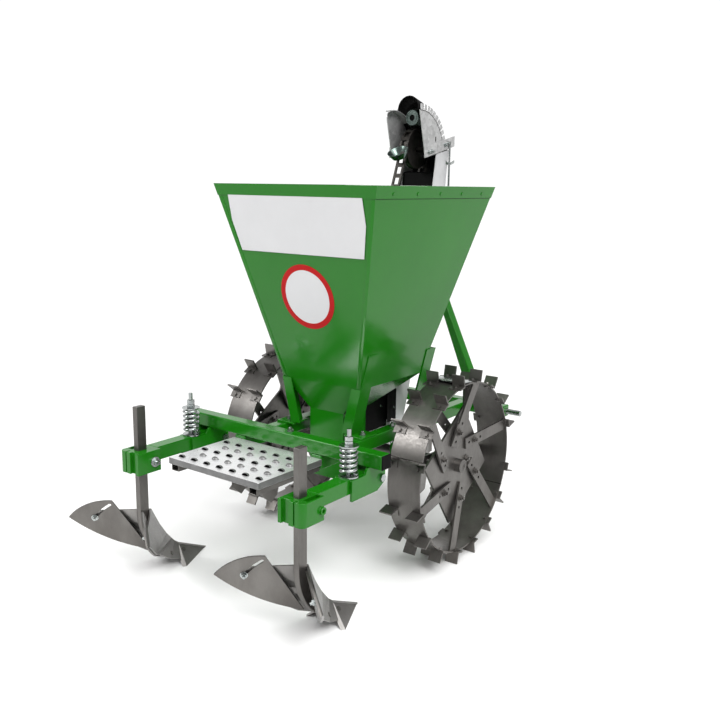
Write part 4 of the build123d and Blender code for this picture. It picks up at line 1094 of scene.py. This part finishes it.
def soft_light(name, place, aim, size, power):
    data = bpy.data.lights.new(name, "AREA")
    data.size = size
    data.energy = power
    data.spread = math.radians(LIGHT_SPREAD)
    light = bpy.data.objects.new(name, data)
    light.location = place
    light.rotation_euler = (Vector(aim) - Vector(place)).to_track_quat("-Z", "Y").to_euler()
    bpy.context.scene.collection.objects.link(light)


def photo_camera():
    data = bpy.data.cameras.new("photo_camera")
    data.lens = CAMERA_LENS
    data.sensor_width = CAMERA_SENSOR
    camera = bpy.data.objects.new("photo_camera", data)
    bpy.context.scene.collection.objects.link(camera)
    azimuth, pitch, roll = (math.radians(v) for v in (CAMERA_AZIMUTH, CAMERA_PITCH, CAMERA_ROLL))
    level = Vector((math.sin(azimuth), -math.cos(azimuth), 0))
    back = level * math.cos(pitch) + Vector((0, 0, math.sin(pitch)))
    right = Vector((math.cos(azimuth), math.sin(azimuth), 0))
    up = back.cross(right)
    rolled_right = right * math.cos(roll) + up * math.sin(roll)
    rolled_up = up * math.cos(roll) - right * math.sin(roll)
    axes = Matrix((rolled_right, rolled_up, back)).transposed().to_4x4()
    camera.matrix_world = Matrix.Translation(CAMERA_AT) @ axes
    bpy.context.scene.camera = camera


def studio_world():
    world = bpy.data.worlds.new("studio")
    world.use_nodes = True
    tree = world.node_tree
    toward = add_node(tree, "ShaderNodeTexCoord")
    side = add_node(tree, "ShaderNodeVectorMath", operation="DOT_PRODUCT")
    side.inputs[1].default_value = BACKDROP_TOWARD
    tree.links.new(toward.outputs["Generated"], side.inputs[0])
    glow = mapped(tree, side.outputs["Value"], BACKDROP_EDGE, BACKDROP_FULL)
    glow.inputs["To Min"].default_value = BACKDROP_DIM
    glow.inputs["To Max"].default_value = BACKDROP_BRIGHT
    path = add_node(tree, "ShaderNodeLightPath")
    seen = add_node(tree, "ShaderNodeMath", operation="MULTIPLY")
    seen.inputs[1].default_value = BACKDROP_BRIGHT
    brightest = add_node(tree, "ShaderNodeMath", operation="MAXIMUM")
    background = tree.nodes["Background"]
    background.inputs["Color"].default_value = (1, 1, 1, 1)
    tree.links.new(path.outputs["Is Camera Ray"], seen.inputs[0])
    tree.links.new(glow.outputs["Result"], brightest.inputs[0])
    tree.links.new(seen.outputs["Value"], brightest.inputs[1])
    tree.links.new(brightest.outputs["Value"], background.inputs["Strength"])
    bpy.context.scene.world = world


def overhead_glow():
    data = bpy.data.lights.new("overhead_glow", "SUN")
    data.energy = GLOW_STRENGTH
    data.angle = math.radians(GLOW_ANGLE)
    light = bpy.data.objects.new("overhead_glow", data)
    light.rotation_euler = (-Vector(GLOW_FROM)).to_track_quat("-Z", "Y").to_euler()
    bpy.context.scene.collection.objects.link(light)


studio_floor()
overhead_glow()
for soft in SOFT_LIGHTS:
    soft_light(*soft)
studio_world()
bpy.context.scene.view_settings.view_transform = "Standard"
photo_camera()
